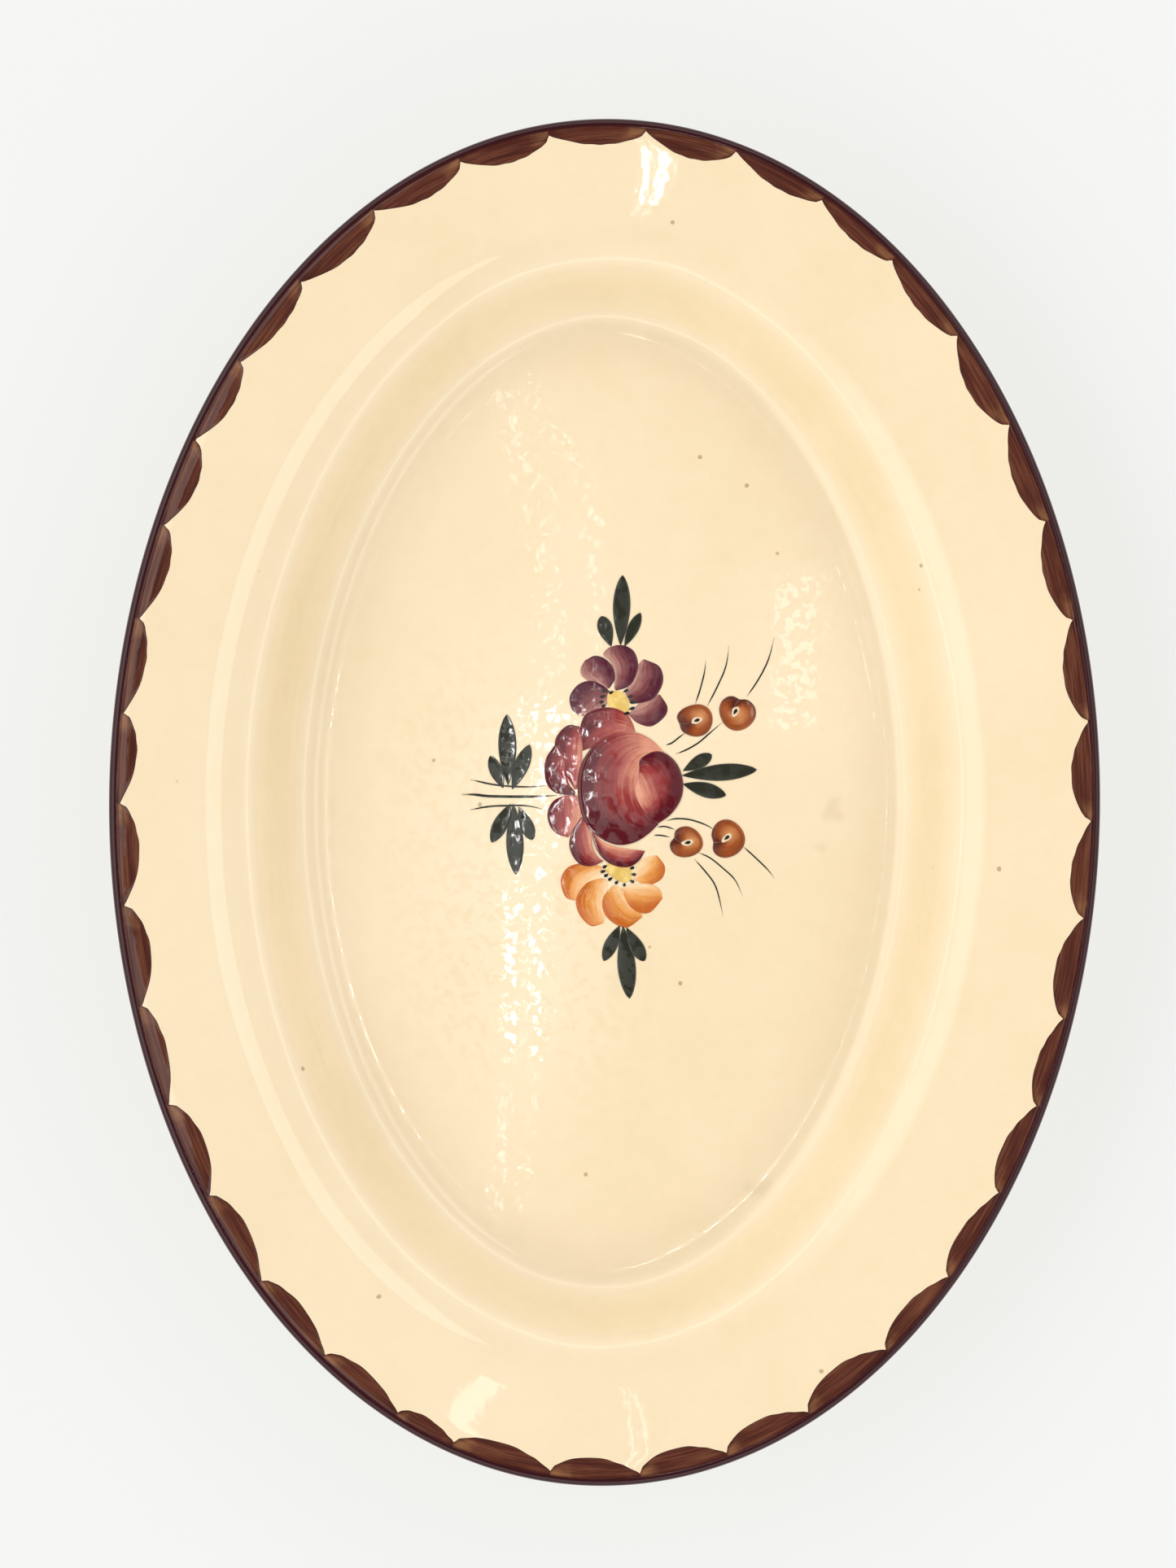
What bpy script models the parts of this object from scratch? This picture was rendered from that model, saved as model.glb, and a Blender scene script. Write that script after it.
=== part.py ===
"""Oval hand-painted earthenware platter: a pressed clay dish, its foot, and the layers of colour laid on it.

The dish keeps one section all round. That section is carried along an oval, so the rim, the shoulder and
the wall are equally wide at the ends and at the sides. +Y is the length, +Z is up, and the origin is on
the table under the middle of the dish.
"""

import math

import bmesh
import bpy
import numpy as np
from mathutils import Matrix, Vector

MM = 0.001

# Overall sizes
LENGTH = 0.360
WIDTH = 0.261
HEIGHT = 0.034

# The dish's section, from the lip inwards
WALL = 0.0052
RIM_WIDTH = 0.029
RIM_SLOPE = math.radians(8)
SHOULDER_RADIUS = 0.0153
WALL_SLOPE = math.radians(50)
WELL_RADIUS = 0.009

# The foot under the floor
FOOT_HEIGHT = 0.0047
FOOT_WIDTH = 0.0044
FOOT_DRAFT = 0.0008
FOOT_SETBACK = 0.001

# The layers of colour
COLOUR_FILM = 0.0003
CLEARANCE = 0.0003

# The brushed edge: half-round strokes side by side, and a narrow one that closes the round
STROKES = 38
STROKE_DEPTH = 0.0072
CUSP_DEPTH = 0.0024
CLOSING_STROKE = 0.0172
CLOSING_PLACE = 0.70
UNDERSIDE_BAND = 0.0045
EDGE_TURN = math.radians(-30)

# How finely the oval and the round stretches are stepped
OVAL_STEPS = 72
LIP_STEPS = 4
SHOULDER_STEPS = 3
WELL_STEPS = 3
STROKE_STEPS = 5
RIM_ROWS = 3
PETAL_STEPS = 20

SKIN = CLEARANCE + COLOUR_FILM
LIP_RADIUS = WALL / 2
FLOOR_TOP = FOOT_HEIGHT + CLEARANCE + WALL

# The motif on the floor, in millimetres from its middle: ovals are (x, y, length, width, turn in degrees)
ROSE = [
    (4.5, 3.6, 30.0, 23.4, 90),
    (13.2, 4.6, 19.6, 15.2, 90),
    (1.2, 18.6, 15.0, 10.8, 15),
    (-9.6, 14.2, 12.8, 8.4, 80),
    (-10.6, 8.2, 13.7, 9.4, 95),
    (-9.2, -4.0, 11.6, 9.2, 50),
    (-4.2, -9.8, 13.0, 8.6, 115),
    (4.4, -11.6, 14.0, 7.2, 5),
]
PLUM_FLOWER = [
    (-4.4, 28.2, 10.2, 9.0, 5),
    (-2.4, 34.6, 9.4, 8.2, 120),
    (4.8, 36.0, 12.2, 9.4, 95),
    (11.0, 32.4, 12.0, 9.4, 60),
    (11.2, 24.9, 11.2, 8.2, 0),
]
PLUM_FLOWER_CENTRE = (3.4, 27.3, 5.8, 5.4, 0)
ORANGE_FLOWER = [
    (-5.6, -21.5, 12.4, 8.6, 10),
    (-2.6, -26.6, 13.1, 8.4, 60),
    (4.3, -28.2, 11.3, 10.4, 90),
    (10.7, -25.4, 10.9, 7.8, -20),
    (11.9, -18.6, 8.6, 7.8, 30),
]
ORANGE_FLOWER_CENTRE = (4.2, -19.8, 6.4, 4.4, 0)
BERRIES = [
    (24.1, 22.1, 9.1, 8.6, 0),
    (35.4, 24.2, 9.4, 9.0, 0),
    (22.0, -10.6, 8.8, 7.7, 0),
    (33.0, -9.6, 9.5, 9.2, 90),
]

# Leaves stand in sprigs of three: (x and y of the base, x and y of the tip, width), the middle one first
SPRIGS = {
    "top": [(4.0, 43.2, 4.4, 60.8, 4.3), (1.1, 43.0, -1.2, 49.8, 3.5), (6.4, 43.0, 9.3, 50.8, 2.7)],
    "bottom": [(5.4, -34.6, 7.2, -52.6, 4.4), (2.8, -34.6, 0.2, -42.6, 3.2), (7.8, -34.6, 11.1, -42.5, 3.2)],
    "left_upper": [
        (-25.8, 4.7, -26.3, 23.2, 4.4),
        (-27.4, 3.7, -30.7, 12.1, 3.2),
        (-23.9, 3.4, -20.1, 15.2, 3.4),
    ],
    "left_lower": [
        (-24.3, -0.9, -23.5, -19.6, 4.2),
        (-25.6, -0.9, -30.3, -11.1, 3.4),
        (-22.5, -1.9, -18.9, -10.3, 3.2),
    ],
    "right": [(22.2, 7.2, 40.8, 9.0, 4.2), (22.2, 9.4, 28.7, 12.9, 3.2), (22.2, 4.9, 32.6, 2.1, 3.5)],
}
LEAF_NAMES = ("middle", "left", "right")

CLAY = ("cream_glazed_clay", (0.94, 0.77, 0.54), 0.12)
BARE_CLAY = ("bare_fired_clay", (0.80, 0.60, 0.42), 0.75)
BROWN = ("brown_slip", (0.066, 0.022, 0.013), 0.18)
CRIMSON = ("crimson_colour", (0.33, 0.045, 0.05), 0.16)
PLUM = ("plum_colour", (0.25, 0.08, 0.09), 0.16)
ORANGE = ("orange_colour", (0.74, 0.34, 0.09), 0.16)
YELLOW = ("yellow_colour", (0.88, 0.68, 0.22), 0.16)
LEAF_GREEN = ("leaf_green_colour", (0.030, 0.033, 0.020), 0.16)
RUST = ("rust_colour", (0.36, 0.11, 0.03), 0.16)


def clear_scene():
    for obj in list(bpy.data.objects):
        bpy.data.objects.remove(obj, do_unlink=True)


def new_collection(name):
    collection = bpy.data.collections.new(name)
    bpy.context.scene.collection.children.link(collection)
    return collection


def material(name, colour, roughness):
    """The named finish, made once."""
    made = bpy.data.materials.get(name)
    if made is None:
        made = bpy.data.materials.new(name)
        made.use_nodes = True
        shader = made.node_tree.nodes["Principled BSDF"]
        shader.inputs["Base Color"].default_value = (*colour, 1.0)
        shader.inputs["Roughness"].default_value = roughness
        shader.inputs["Metallic"].default_value = 0.0
        made.diffuse_color = (*colour, 1.0)
    return made


def add_object(name, data, collection, finish=None, parent=None):
    obj = bpy.data.objects.new(name, data)
    collection.objects.link(obj)
    obj.parent = parent
    if finish is not None:
        data.materials.append(material(*finish))
    return obj


def add_cutter(name, data, collection):
    obj = add_object(name, data, collection)
    obj.hide_render = True
    obj.display_type = "WIRE"
    return obj


def oval_stations(fractions):
    """Points of the outer oval at these fractions of its length round, from +X towards +Y, and the
    directions that point straight out of it there."""
    turn = np.linspace(0.0, 2 * math.pi, 7201)
    across, along = WIDTH / 2 * np.cos(turn), LENGTH / 2 * np.sin(turn)
    run = np.concatenate([[0.0], np.cumsum(np.hypot(np.diff(across), np.diff(along)))])
    angles = np.interp(np.asarray(fractions) * run[-1], run, turn)
    points = np.stack([WIDTH / 2 * np.cos(angles), LENGTH / 2 * np.sin(angles)], axis=-1)
    outward = np.stack([np.cos(angles) / WIDTH, np.sin(angles) / LENGTH], axis=-1)
    outward /= np.linalg.norm(outward, axis=-1, keepdims=True)
    return points, outward, run[-1]


def facing(slope):
    """The direction square to a surface that falls inwards at this slope, as (inwards, up)."""
    return np.array([math.sin(slope), math.cos(slope)])


def lip_centre():
    return np.array([SKIN + LIP_RADIUS, HEIGHT - SKIN - LIP_RADIUS])


def arc(centre, radius, first, last, steps):
    """Points round a centre, whose directions turn from one slope's facing to another's."""
    return [centre + radius * facing(slope) for slope in np.linspace(first, last, steps + 1)]


def dish_line(depth):
    """The dish's section at this depth under its upper surface, as (distance in from the oval, height):
    the end of the rim, the shoulder's arc, the straight wall, and the arc that runs out into the floor."""
    rim_end = lip_centre() + LIP_RADIUS * facing(RIM_SLOPE)
    rim_run = RIM_WIDTH - rim_end[0]
    rim_end = rim_end + np.array([rim_run, -rim_run * math.tan(RIM_SLOPE)])
    shoulder_centre = rim_end - SHOULDER_RADIUS * facing(RIM_SLOPE)
    shoulder_end = shoulder_centre + SHOULDER_RADIUS * facing(WALL_SLOPE)
    well_drop = WELL_RADIUS * (1 - math.cos(WALL_SLOPE))
    wall_drop = shoulder_end[1] - FLOOR_TOP - well_drop
    wall_end = shoulder_end + np.array([wall_drop / math.tan(WALL_SLOPE), -wall_drop])
    well_centre = wall_end + WELL_RADIUS * facing(WALL_SLOPE)
    shoulder = arc(shoulder_centre, SHOULDER_RADIUS - depth, RIM_SLOPE, WALL_SLOPE, SHOULDER_STEPS)
    well = arc(well_centre, -(WELL_RADIUS + depth), WALL_SLOPE, 0.0, WELL_STEPS)
    return shoulder + well


def lip_arc(radius, first=RIM_SLOPE):
    """The half-round lip, from its upper side over its edge to its underside."""
    return arc(lip_centre(), radius, first, RIM_SLOPE - math.pi, LIP_STEPS)


def floor_inset():
    """How far in from the oval the flat floor starts."""
    return dish_line(0.0)[-1][0]


def poly_curve(name, points, cyclic):
    curve = bpy.data.curves.new(name, "CURVE")
    spline = curve.splines.new("POLY")
    spline.points.add(len(points) - 1)
    for point, place in zip(spline.points, points):
        point.co = (*place, 1.0)
    spline.use_cyclic_u = cyclic
    return curve


def swept_round(name, section, closed, guides):
    """The mesh of a section carried round the oval. An open section leaves two open ovals, which are
    filled."""
    stations, _, _ = oval_stations(np.arange(OVAL_STEPS) / OVAL_STEPS)
    path = poly_curve(name + "_path", [(x, y, 0.0) for x, y in stations], cyclic=True)
    path.dimensions = "3D"
    path.twist_mode = "Z_UP"
    corners = [(-inset, height, 0.0) for inset, height in section]
    profile = poly_curve(name + "_section", corners, cyclic=closed)
    path.bevel_mode = "OBJECT"
    path.bevel_object = add_cutter(name + "_section", profile, guides)
    track = add_cutter(name + "_path", path, guides)
    bpy.context.view_layer.update()
    graph = bpy.context.evaluated_depsgraph_get()
    mesh = bpy.data.meshes.new_from_object(track.evaluated_get(graph))
    bpy.data.objects.remove(track)
    shape = bmesh.new()
    shape.from_mesh(mesh)
    bmesh.ops.remove_doubles(shape, verts=shape.verts, dist=1e-6)
    if not closed:
        bmesh.ops.holes_fill(shape, edges=shape.edges, sides=0)
    bmesh.ops.recalc_face_normals(shape, faces=shape.faces)
    shape.to_mesh(mesh)
    shape.free()
    mesh.name = name
    mesh.materials.clear()
    mesh.shade_smooth()
    mesh.set_sharp_from_angle(angle=math.radians(40))
    return mesh


def clay_body(platter, root, guides):
    """The dish: up the well and out to the lip, over it, and back under to the floor."""
    section = dish_line(0.0)[::-1] + lip_arc(LIP_RADIUS) + dish_line(WALL)
    mesh = swept_round("clay_body", section, False, guides)
    return add_object("clay_body", mesh, platter, CLAY, root)


def foot_ring(platter, root, guides):
    """The strip that the dish stands on, a little narrower at its flat bearing edge."""
    outer = floor_inset() + FOOT_SETBACK
    section = [
        (outer, FOOT_HEIGHT),
        (outer + FOOT_DRAFT, 0.0),
        (outer + FOOT_DRAFT + FOOT_WIDTH, 0.0),
        (outer + 2 * FOOT_DRAFT + FOOT_WIDTH, FOOT_HEIGHT),
    ]
    mesh = swept_round("foot_ring", section, True, guides)
    return add_object("foot_ring", mesh, platter, BARE_CLAY, root)


def stroke_stations():
    """Where the strokes' edges are sampled: the fractions of the oval's length, and how far in from the
    oval each reaches. Each stroke is half an ellipse on the cusp line, so both come from one turning angle."""
    _, _, round_length = oval_stations([0.0])
    width = (round_length - CLOSING_STROKE) / (STROKES - 1)
    widths = np.array([CLOSING_STROKE] + [width] * (STROKES - 1))
    starts = CLOSING_PLACE * round_length - CLOSING_STROKE / 2 + np.cumsum(widths) - widths
    turn = math.pi * np.arange(STROKE_STEPS) / STROKE_STEPS
    run = starts[:, None] + widths[:, None] * (1 - np.cos(turn)) / 2
    reach = CUSP_DEPTH + (STROKE_DEPTH - CUSP_DEPTH) * np.sin(turn) * np.ones((STROKES, 1))
    return (run / round_length % 1.0).ravel(), reach.ravel()


def height_over_rim(inset, radius):
    """How high a layer round the lip with this radius lies over the rim: on the lip's arc where the inset is
    still on it, and on the rim's slope further in."""
    centre = lip_centre()
    slope_start = centre + radius * facing(RIM_SLOPE)
    on_lip = centre[1] + np.sqrt(np.maximum(radius**2 - (inset - centre[0]) ** 2, 0.0))
    on_rim = slope_start[1] - (inset - slope_start[0]) * math.tan(RIM_SLOPE)
    return np.where(inset < slope_start[0], on_lip, on_rim)


def painted_edge(platter, root):
    """The coat of slip over the lip: an open band round it, scalloped inside, given its thickness outwards."""
    fractions, reach = stroke_stations()
    points, outward, _ = oval_stations(fractions)
    radius = LIP_RADIUS + CLEARANCE
    lip = lip_arc(radius, EDGE_TURN)
    fixed = lip + [lip[-1] + UNDERSIDE_BAND * np.array([1.0, -math.tan(RIM_SLOPE)])]
    insets = [reach + (lip[0][0] - reach) * step / RIM_ROWS for step in range(RIM_ROWS)]
    rows = [np.stack([inset, height_over_rim(inset, radius)], axis=-1) for inset in insets]
    rows += [np.broadcast_to(corner, (len(reach), 2)) for corner in fixed]
    rows = np.array(rows)
    plan = points[None] - outward[None] * rows[..., :1]
    places = np.concatenate([plan, rows[..., 1:]], axis=-1).reshape(-1, 3)
    count, width = len(rows), len(reach)
    corner = np.arange(count * width).reshape(count, width)
    after = np.roll(corner, -1, axis=1)
    faces = np.stack([corner[:-1], corner[1:], after[1:], after[:-1]], axis=-1).reshape(-1, 4)
    mesh = bpy.data.meshes.new("painted_edge")
    mesh.from_pydata(places.tolist(), [], faces.tolist())
    mesh.shade_smooth()
    band = add_object("painted_edge", mesh, platter, BROWN, root)
    coat = band.modifiers.new("coat", "SOLIDIFY")
    coat.thickness = COLOUR_FILM
    coat.offset = 1.0
    coat.use_even_offset = False
    return band


def oval_slab(oval, grow=0.0, overshoot=0.0):
    """A flat oval of colour on the floor, as a mesh. grow widens it all round, for a cutter that leaves a gap,
    and overshoot makes that cutter thicker than the colour."""
    x, y, length, width, turn = oval
    size = (length * MM + 2 * grow, width * MM + 2 * grow, COLOUR_FILM + 2 * overshoot)
    shape = bmesh.new()
    bmesh.ops.create_cone(
        shape,
        cap_ends=True,
        segments=PETAL_STEPS,
        radius1=0.5,
        radius2=0.5,
        depth=1.0,
        matrix=Matrix.Diagonal((*size, 1.0)),
    )
    middle = FLOOR_TOP + CLEARANCE + COLOUR_FILM / 2
    placing = Matrix.Translation((x * MM, y * MM, middle)) @ Matrix.Rotation(math.radians(turn), 4, "Z")
    bmesh.ops.transform(shape, matrix=placing, verts=shape.verts)
    mesh = bpy.data.meshes.new("oval_slab")
    shape.to_mesh(mesh)
    shape.free()
    return mesh


def boolean(obj, name, operation, collection):
    cut = obj.modifiers.new(name, "BOOLEAN")
    cut.operation = operation
    cut.operand_type = "COLLECTION"
    cut.collection = collection


def painted_shape(name, ovals, finish, painted_over, platter, root, guides):
    """Ovals of colour that run into one another, cut back where a later colour is painted over them."""
    obj = add_object(name, oval_slab(ovals[0]), platter, finish, root)
    if len(ovals) > 1:
        others = bpy.data.collections.new(name + "_other_ovals")
        guides.children.link(others)
        for number, oval in enumerate(ovals[1:], 2):
            add_cutter(f"{name}_oval_{number}", oval_slab(oval), others)
        boolean(obj, "run_together", "UNION", others)
    if painted_over:
        covers = bpy.data.collections.new(name + "_painted_over")
        guides.children.link(covers)
        for number, oval in enumerate(painted_over, 1):
            add_cutter(f"{name}_cover_{number}", oval_slab(oval, CLEARANCE, COLOUR_FILM), covers)
        boolean(obj, "cut_back", "DIFFERENCE", covers)
    return obj


def leaf(name, shape, platter, root):
    """A leaf stroke, as a flat closed outline of four Bezier points: pointed at its base, full at its middle
    and round at its tip."""
    base, tip, width = Vector(shape[0:2]) * MM, Vector(shape[2:4]) * MM, shape[4] * MM
    length = (tip - base).length
    half = width / 2
    outline = [
        ((0.0, 0.0), (0.1 * length, 0.3 * half), (0.1 * length, -0.3 * half)),
        ((0.55 * length, -half), (0.3 * length, -half), (0.8 * length, -half)),
        ((length, 0.0), (length, -0.4 * half), (length, 0.4 * half)),
        ((0.55 * length, half), (0.8 * length, half), (0.3 * length, half)),
    ]
    curve = bpy.data.curves.new(name, "CURVE")
    curve.dimensions = "2D"
    curve.fill_mode = "BOTH"
    curve.extrude = COLOUR_FILM / 2
    curve.resolution_u = 4
    spline = curve.splines.new("BEZIER")
    spline.bezier_points.add(len(outline) - 1)
    for point, (place, before, after) in zip(spline.bezier_points, outline):
        point.handle_left_type = point.handle_right_type = "FREE"
        point.co = (*place, 0.0)
        point.handle_left = (*before, 0.0)
        point.handle_right = (*after, 0.0)
    spline.use_cyclic_u = True
    obj = add_object(name, curve, platter, LEAF_GREEN, root)
    obj.location = (base.x, base.y, FLOOR_TOP + CLEARANCE + COLOUR_FILM / 2)
    obj.rotation_euler.z = math.atan2((tip - base).y, (tip - base).x)
    return obj


def painted_motif(platter, root, guides):
    """The rose lies over both flowers' centres, and each centre lies over its own petals."""
    plum_over = ROSE + [PLUM_FLOWER_CENTRE]
    orange_over = ROSE + [ORANGE_FLOWER_CENTRE]
    layers = [
        ("rose", ROSE, CRIMSON, []),
        ("plum_flower", PLUM_FLOWER, PLUM, plum_over),
        ("plum_flower_centre", [PLUM_FLOWER_CENTRE], YELLOW, ROSE),
        ("orange_flower", ORANGE_FLOWER, ORANGE, orange_over),
        ("orange_flower_centre", [ORANGE_FLOWER_CENTRE], YELLOW, ROSE),
    ]
    for name, ovals, finish, painted_over in layers:
        painted_shape(name, ovals, finish, painted_over, platter, root, guides)
    for number, oval in enumerate(BERRIES, 1):
        painted_shape(f"berry_{number}", [oval], RUST, [], platter, root, guides)
    for sprig, leaves in SPRIGS.items():
        for side, shape in zip(LEAF_NAMES, leaves):
            leaf(f"leaf_{sprig}_{side}", shape, platter, root)


def main():
    clear_scene()
    platter = new_collection("oval_platter")
    guides = new_collection("cutters")
    root = add_object("platter", None, platter)
    clay_body(platter, root, guides)
    foot_ring(platter, root, guides)
    painted_edge(platter, root)
    painted_motif(platter, root, guides)


if __name__ == "__main__":
    main()
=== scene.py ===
"""Dresses the oval platter for rendering: a glazed dish with a brushed brown edge and a painted flower spray.

Every painted shape is laid on the dish as thin closed strokes of colour, as a painter lays them on. Sizes
are in metres, +Y runs along the dish and +Z points up out of its well.
"""

import math

import bpy
import numpy as np
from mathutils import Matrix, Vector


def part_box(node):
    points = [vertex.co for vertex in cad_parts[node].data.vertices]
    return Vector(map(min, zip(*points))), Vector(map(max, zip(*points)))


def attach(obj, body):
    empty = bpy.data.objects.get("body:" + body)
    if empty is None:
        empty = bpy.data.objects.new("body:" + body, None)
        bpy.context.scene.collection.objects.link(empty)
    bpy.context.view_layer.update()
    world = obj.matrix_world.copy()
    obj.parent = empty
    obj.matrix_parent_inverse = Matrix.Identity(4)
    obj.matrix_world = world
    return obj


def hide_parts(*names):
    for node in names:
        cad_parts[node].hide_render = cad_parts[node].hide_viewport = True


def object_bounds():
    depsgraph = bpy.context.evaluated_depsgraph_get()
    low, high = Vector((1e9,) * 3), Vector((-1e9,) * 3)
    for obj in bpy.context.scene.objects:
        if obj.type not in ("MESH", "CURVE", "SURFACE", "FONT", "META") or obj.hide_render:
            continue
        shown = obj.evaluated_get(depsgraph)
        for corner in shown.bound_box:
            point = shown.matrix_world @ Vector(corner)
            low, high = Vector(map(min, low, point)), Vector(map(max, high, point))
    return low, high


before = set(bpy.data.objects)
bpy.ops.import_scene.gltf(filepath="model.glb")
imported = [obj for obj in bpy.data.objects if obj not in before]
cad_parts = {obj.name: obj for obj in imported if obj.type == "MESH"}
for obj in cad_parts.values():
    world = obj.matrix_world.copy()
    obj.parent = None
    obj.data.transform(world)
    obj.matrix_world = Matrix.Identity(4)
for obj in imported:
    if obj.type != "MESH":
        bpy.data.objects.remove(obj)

bl_info = {
    "name": "Painted oval platter",
    "version": (1, 0, 0),
    "blender": (4, 5, 0),
    "location": "3D View > Sidebar > Platter",
    "description": "Makes a glazed oval platter with a brushed edge and a painted flower spray",
    "category": "Add Mesh",
}

MM = 0.001
CAD_LOW, CAD_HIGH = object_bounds()
HALF_WIDTH = (CAD_HIGH.x - CAD_LOW.x) / 2
HALF_LENGTH = (CAD_HIGH.y - CAD_LOW.y) / 2
TOP = CAD_HIGH.z
FOOT_LOW, FOOT_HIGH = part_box("foot_ring")
COLOUR_GAP = 0.3 * MM
FLOOR_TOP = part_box("rose")[0].z - COLOUR_GAP
SEED = 7
STEPS_ROUND = 360
# How high a stroke's colour stands over the floor, how much higher each layer over it stands, and how far
# the underside lies in the glaze.
STROKE_FILM = 0.025 * MM
LAYER_FILM = 0.014 * MM
SUNK = 0.03 * MM
# Colours that no setting changes.
POOLED_BROWN = (0.034, 0.006, 0.004)
STREAK_BROWN = (0.028, 0.006, 0.004)
SMUDGE = (0.55, 0.42, 0.28)
DARK_CLAY = (0.52, 0.35, 0.22)
BARE_LINE = (0.62, 0.45, 0.26)
DARK_YELLOW = (0.74, 0.49, 0.12)
STAMEN_SHADE = (0.010, 0.008, 0.006)
SEED_COLOUR = (0.020, 0.012, 0.008)
SEED_SHADE = (0.008, 0.006, 0.005)
# The roughness of the glaze where it is clear, and how much rougher its dull patches are.
CLEAR = 0.024
DULLER = 0.12
# How strongly the glaze ripples over each kind of colour.
BROWN_RIPPLE, BRUSH_RIPPLE, DAB_RIPPLE = 1.2, 1.5, 1.6


# ---------------------------------------------------------------------------------------------------------
# Settings
# ---------------------------------------------------------------------------------------------------------


def length_setting(name, description, millimetres):
    return bpy.props.FloatProperty(
        name=name, description=description, default=millimetres * MM, min=0.0, precision=5, unit="LENGTH"
    )


def colour_setting(name, description, colour):
    return bpy.props.FloatVectorProperty(
        name=name, description=description, default=colour, subtype="COLOR", size=3, min=0.0, max=1.0
    )


class DishSettings(bpy.types.PropertyGroup):
    """The dish's section and its glaze."""

    wall: length_setting("Wall", "Thickness of the clay", 5.2)
    rim_width: length_setting("Rim width", "From the lip to the start of the shoulder", 29.0)
    rim_slope: bpy.props.FloatProperty(
        name="Rim slope",
        description="How far the rim falls inwards",
        default=math.radians(8),
        subtype="ANGLE",
    )
    shoulder: length_setting("Shoulder radius", "Radius of the bend from the rim into the wall", 15.3)
    wall_slope: bpy.props.FloatProperty(
        name="Wall slope", description="Slope of the well's wall", default=math.radians(50), subtype="ANGLE"
    )
    well: length_setting("Well radius", "Radius of the bend from the wall into the floor", 9.0)
    bead: length_setting("Lip bead", "Radius of the rolled bead on the lip", 1.75)
    film: length_setting("Colour film", "Thickness of the colour on the lip", 0.15)
    floor_sag: length_setting("Floor sag", "How far the floor's middle has sunk", 0.12)
    glaze: colour_setting("Glaze", "Colour of the cream glaze", (0.93, 0.765, 0.525))
    # Also the colour of the painted shade on the well's wall.
    glaze_shade: colour_setting(
        "Glaze in the thick", "Colour where the glaze lies thick", (0.85, 0.685, 0.425)
    )
    clay: colour_setting("Clay", "Colour of the bare fired clay", (0.72, 0.52, 0.36))


class EdgeSettings(bpy.types.PropertyGroup):
    """The brushed edge."""

    strokes: bpy.props.IntProperty(name="Strokes", description="Half-round strokes round the rim", default=38)
    depth: length_setting("Stroke depth", "How far in the strokes reach", 7.5)
    cusp: length_setting("Cusp depth", "How far in two strokes meet", 2.75)
    closing: length_setting("Closing stroke", "Width of the narrow stroke that closes the round", 17.2)
    underside: length_setting("Underside band", "Width of the band under the lip", 4.5)
    brown: colour_setting("Brown", "Body of a stroke", (0.100, 0.0235, 0.0135))
    maroon: colour_setting("Maroon", "Thick colour on the lip", (0.036, 0.0045, 0.0065))
    tan: colour_setting("Tan", "Thin colour at a stroke's end", (0.33, 0.15, 0.065))


class MotifSettings(bpy.types.PropertyGroup):
    """The painted spray's colours."""

    crimson_deep: colour_setting("Deep crimson", "Loaded side of the rose's strokes", (0.095, 0.0015, 0.007))
    crimson: colour_setting("Crimson", "Middle of the rose's strokes", (0.33, 0.045, 0.042))
    crimson_pale: colour_setting("Pale crimson", "Thin side of the rose's strokes", (0.76, 0.33, 0.21))
    plum_deep: colour_setting("Deep plum", "Loaded side of the plum strokes", (0.085, 0.012, 0.026))
    plum: colour_setting("Plum", "Middle of the plum strokes", (0.24, 0.068, 0.068))
    plum_pale: colour_setting("Pale plum", "Thin side of the plum strokes", (0.64, 0.36, 0.28))
    orange_deep: colour_setting("Deep orange", "Loaded side of the orange strokes", (0.54, 0.125, 0.012))
    orange: colour_setting("Orange", "Middle of the orange strokes", (0.80, 0.34, 0.08))
    orange_pale: colour_setting("Pale orange", "Thin side of the orange strokes", (0.94, 0.66, 0.37))
    yellow: colour_setting("Yellow", "Flower centres", (0.90, 0.66, 0.20))
    leaf: colour_setting("Leaf", "Leaves, stalks and stamens", (0.022, 0.023, 0.013))
    leaf_pale: colour_setting("Pale leaf", "Thin colour in a leaf's middle", (0.052, 0.056, 0.037))
    rust_deep: colour_setting("Deep rust", "Loaded side of the berries", (0.09, 0.013, 0.004))
    rust: colour_setting("Rust", "Berries", (0.33, 0.074, 0.014))
    rust_pale: colour_setting("Pale rust", "Thin colour on the berries", (0.66, 0.28, 0.095))


class StageSettings(bpy.types.PropertyGroup):
    """The camera, the floor and the lamps."""

    camera_height: length_setting("Camera height", "Camera over the rim", 1200)
    lens: bpy.props.FloatProperty(name="Lens", description="Focal length", default=104.8, unit="CAMERA")
    aim_across: bpy.props.FloatProperty(
        name="Aim across", description="Camera in X", default=-4.4 * MM, precision=5, unit="LENGTH"
    )
    aim_along: bpy.props.FloatProperty(
        name="Aim along", description="Camera in Y", default=4.8 * MM, precision=5, unit="LENGTH"
    )
    turn: bpy.props.FloatProperty(
        name="Turn", description="How far the camera is turned", default=math.radians(0.477), subtype="ANGLE"
    )
    floor: colour_setting("Floor", "Colour of the pale floor", (0.88, 0.89, 0.865))


# ---------------------------------------------------------------------------------------------------------
# Curves and surfaces
# ---------------------------------------------------------------------------------------------------------


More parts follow.
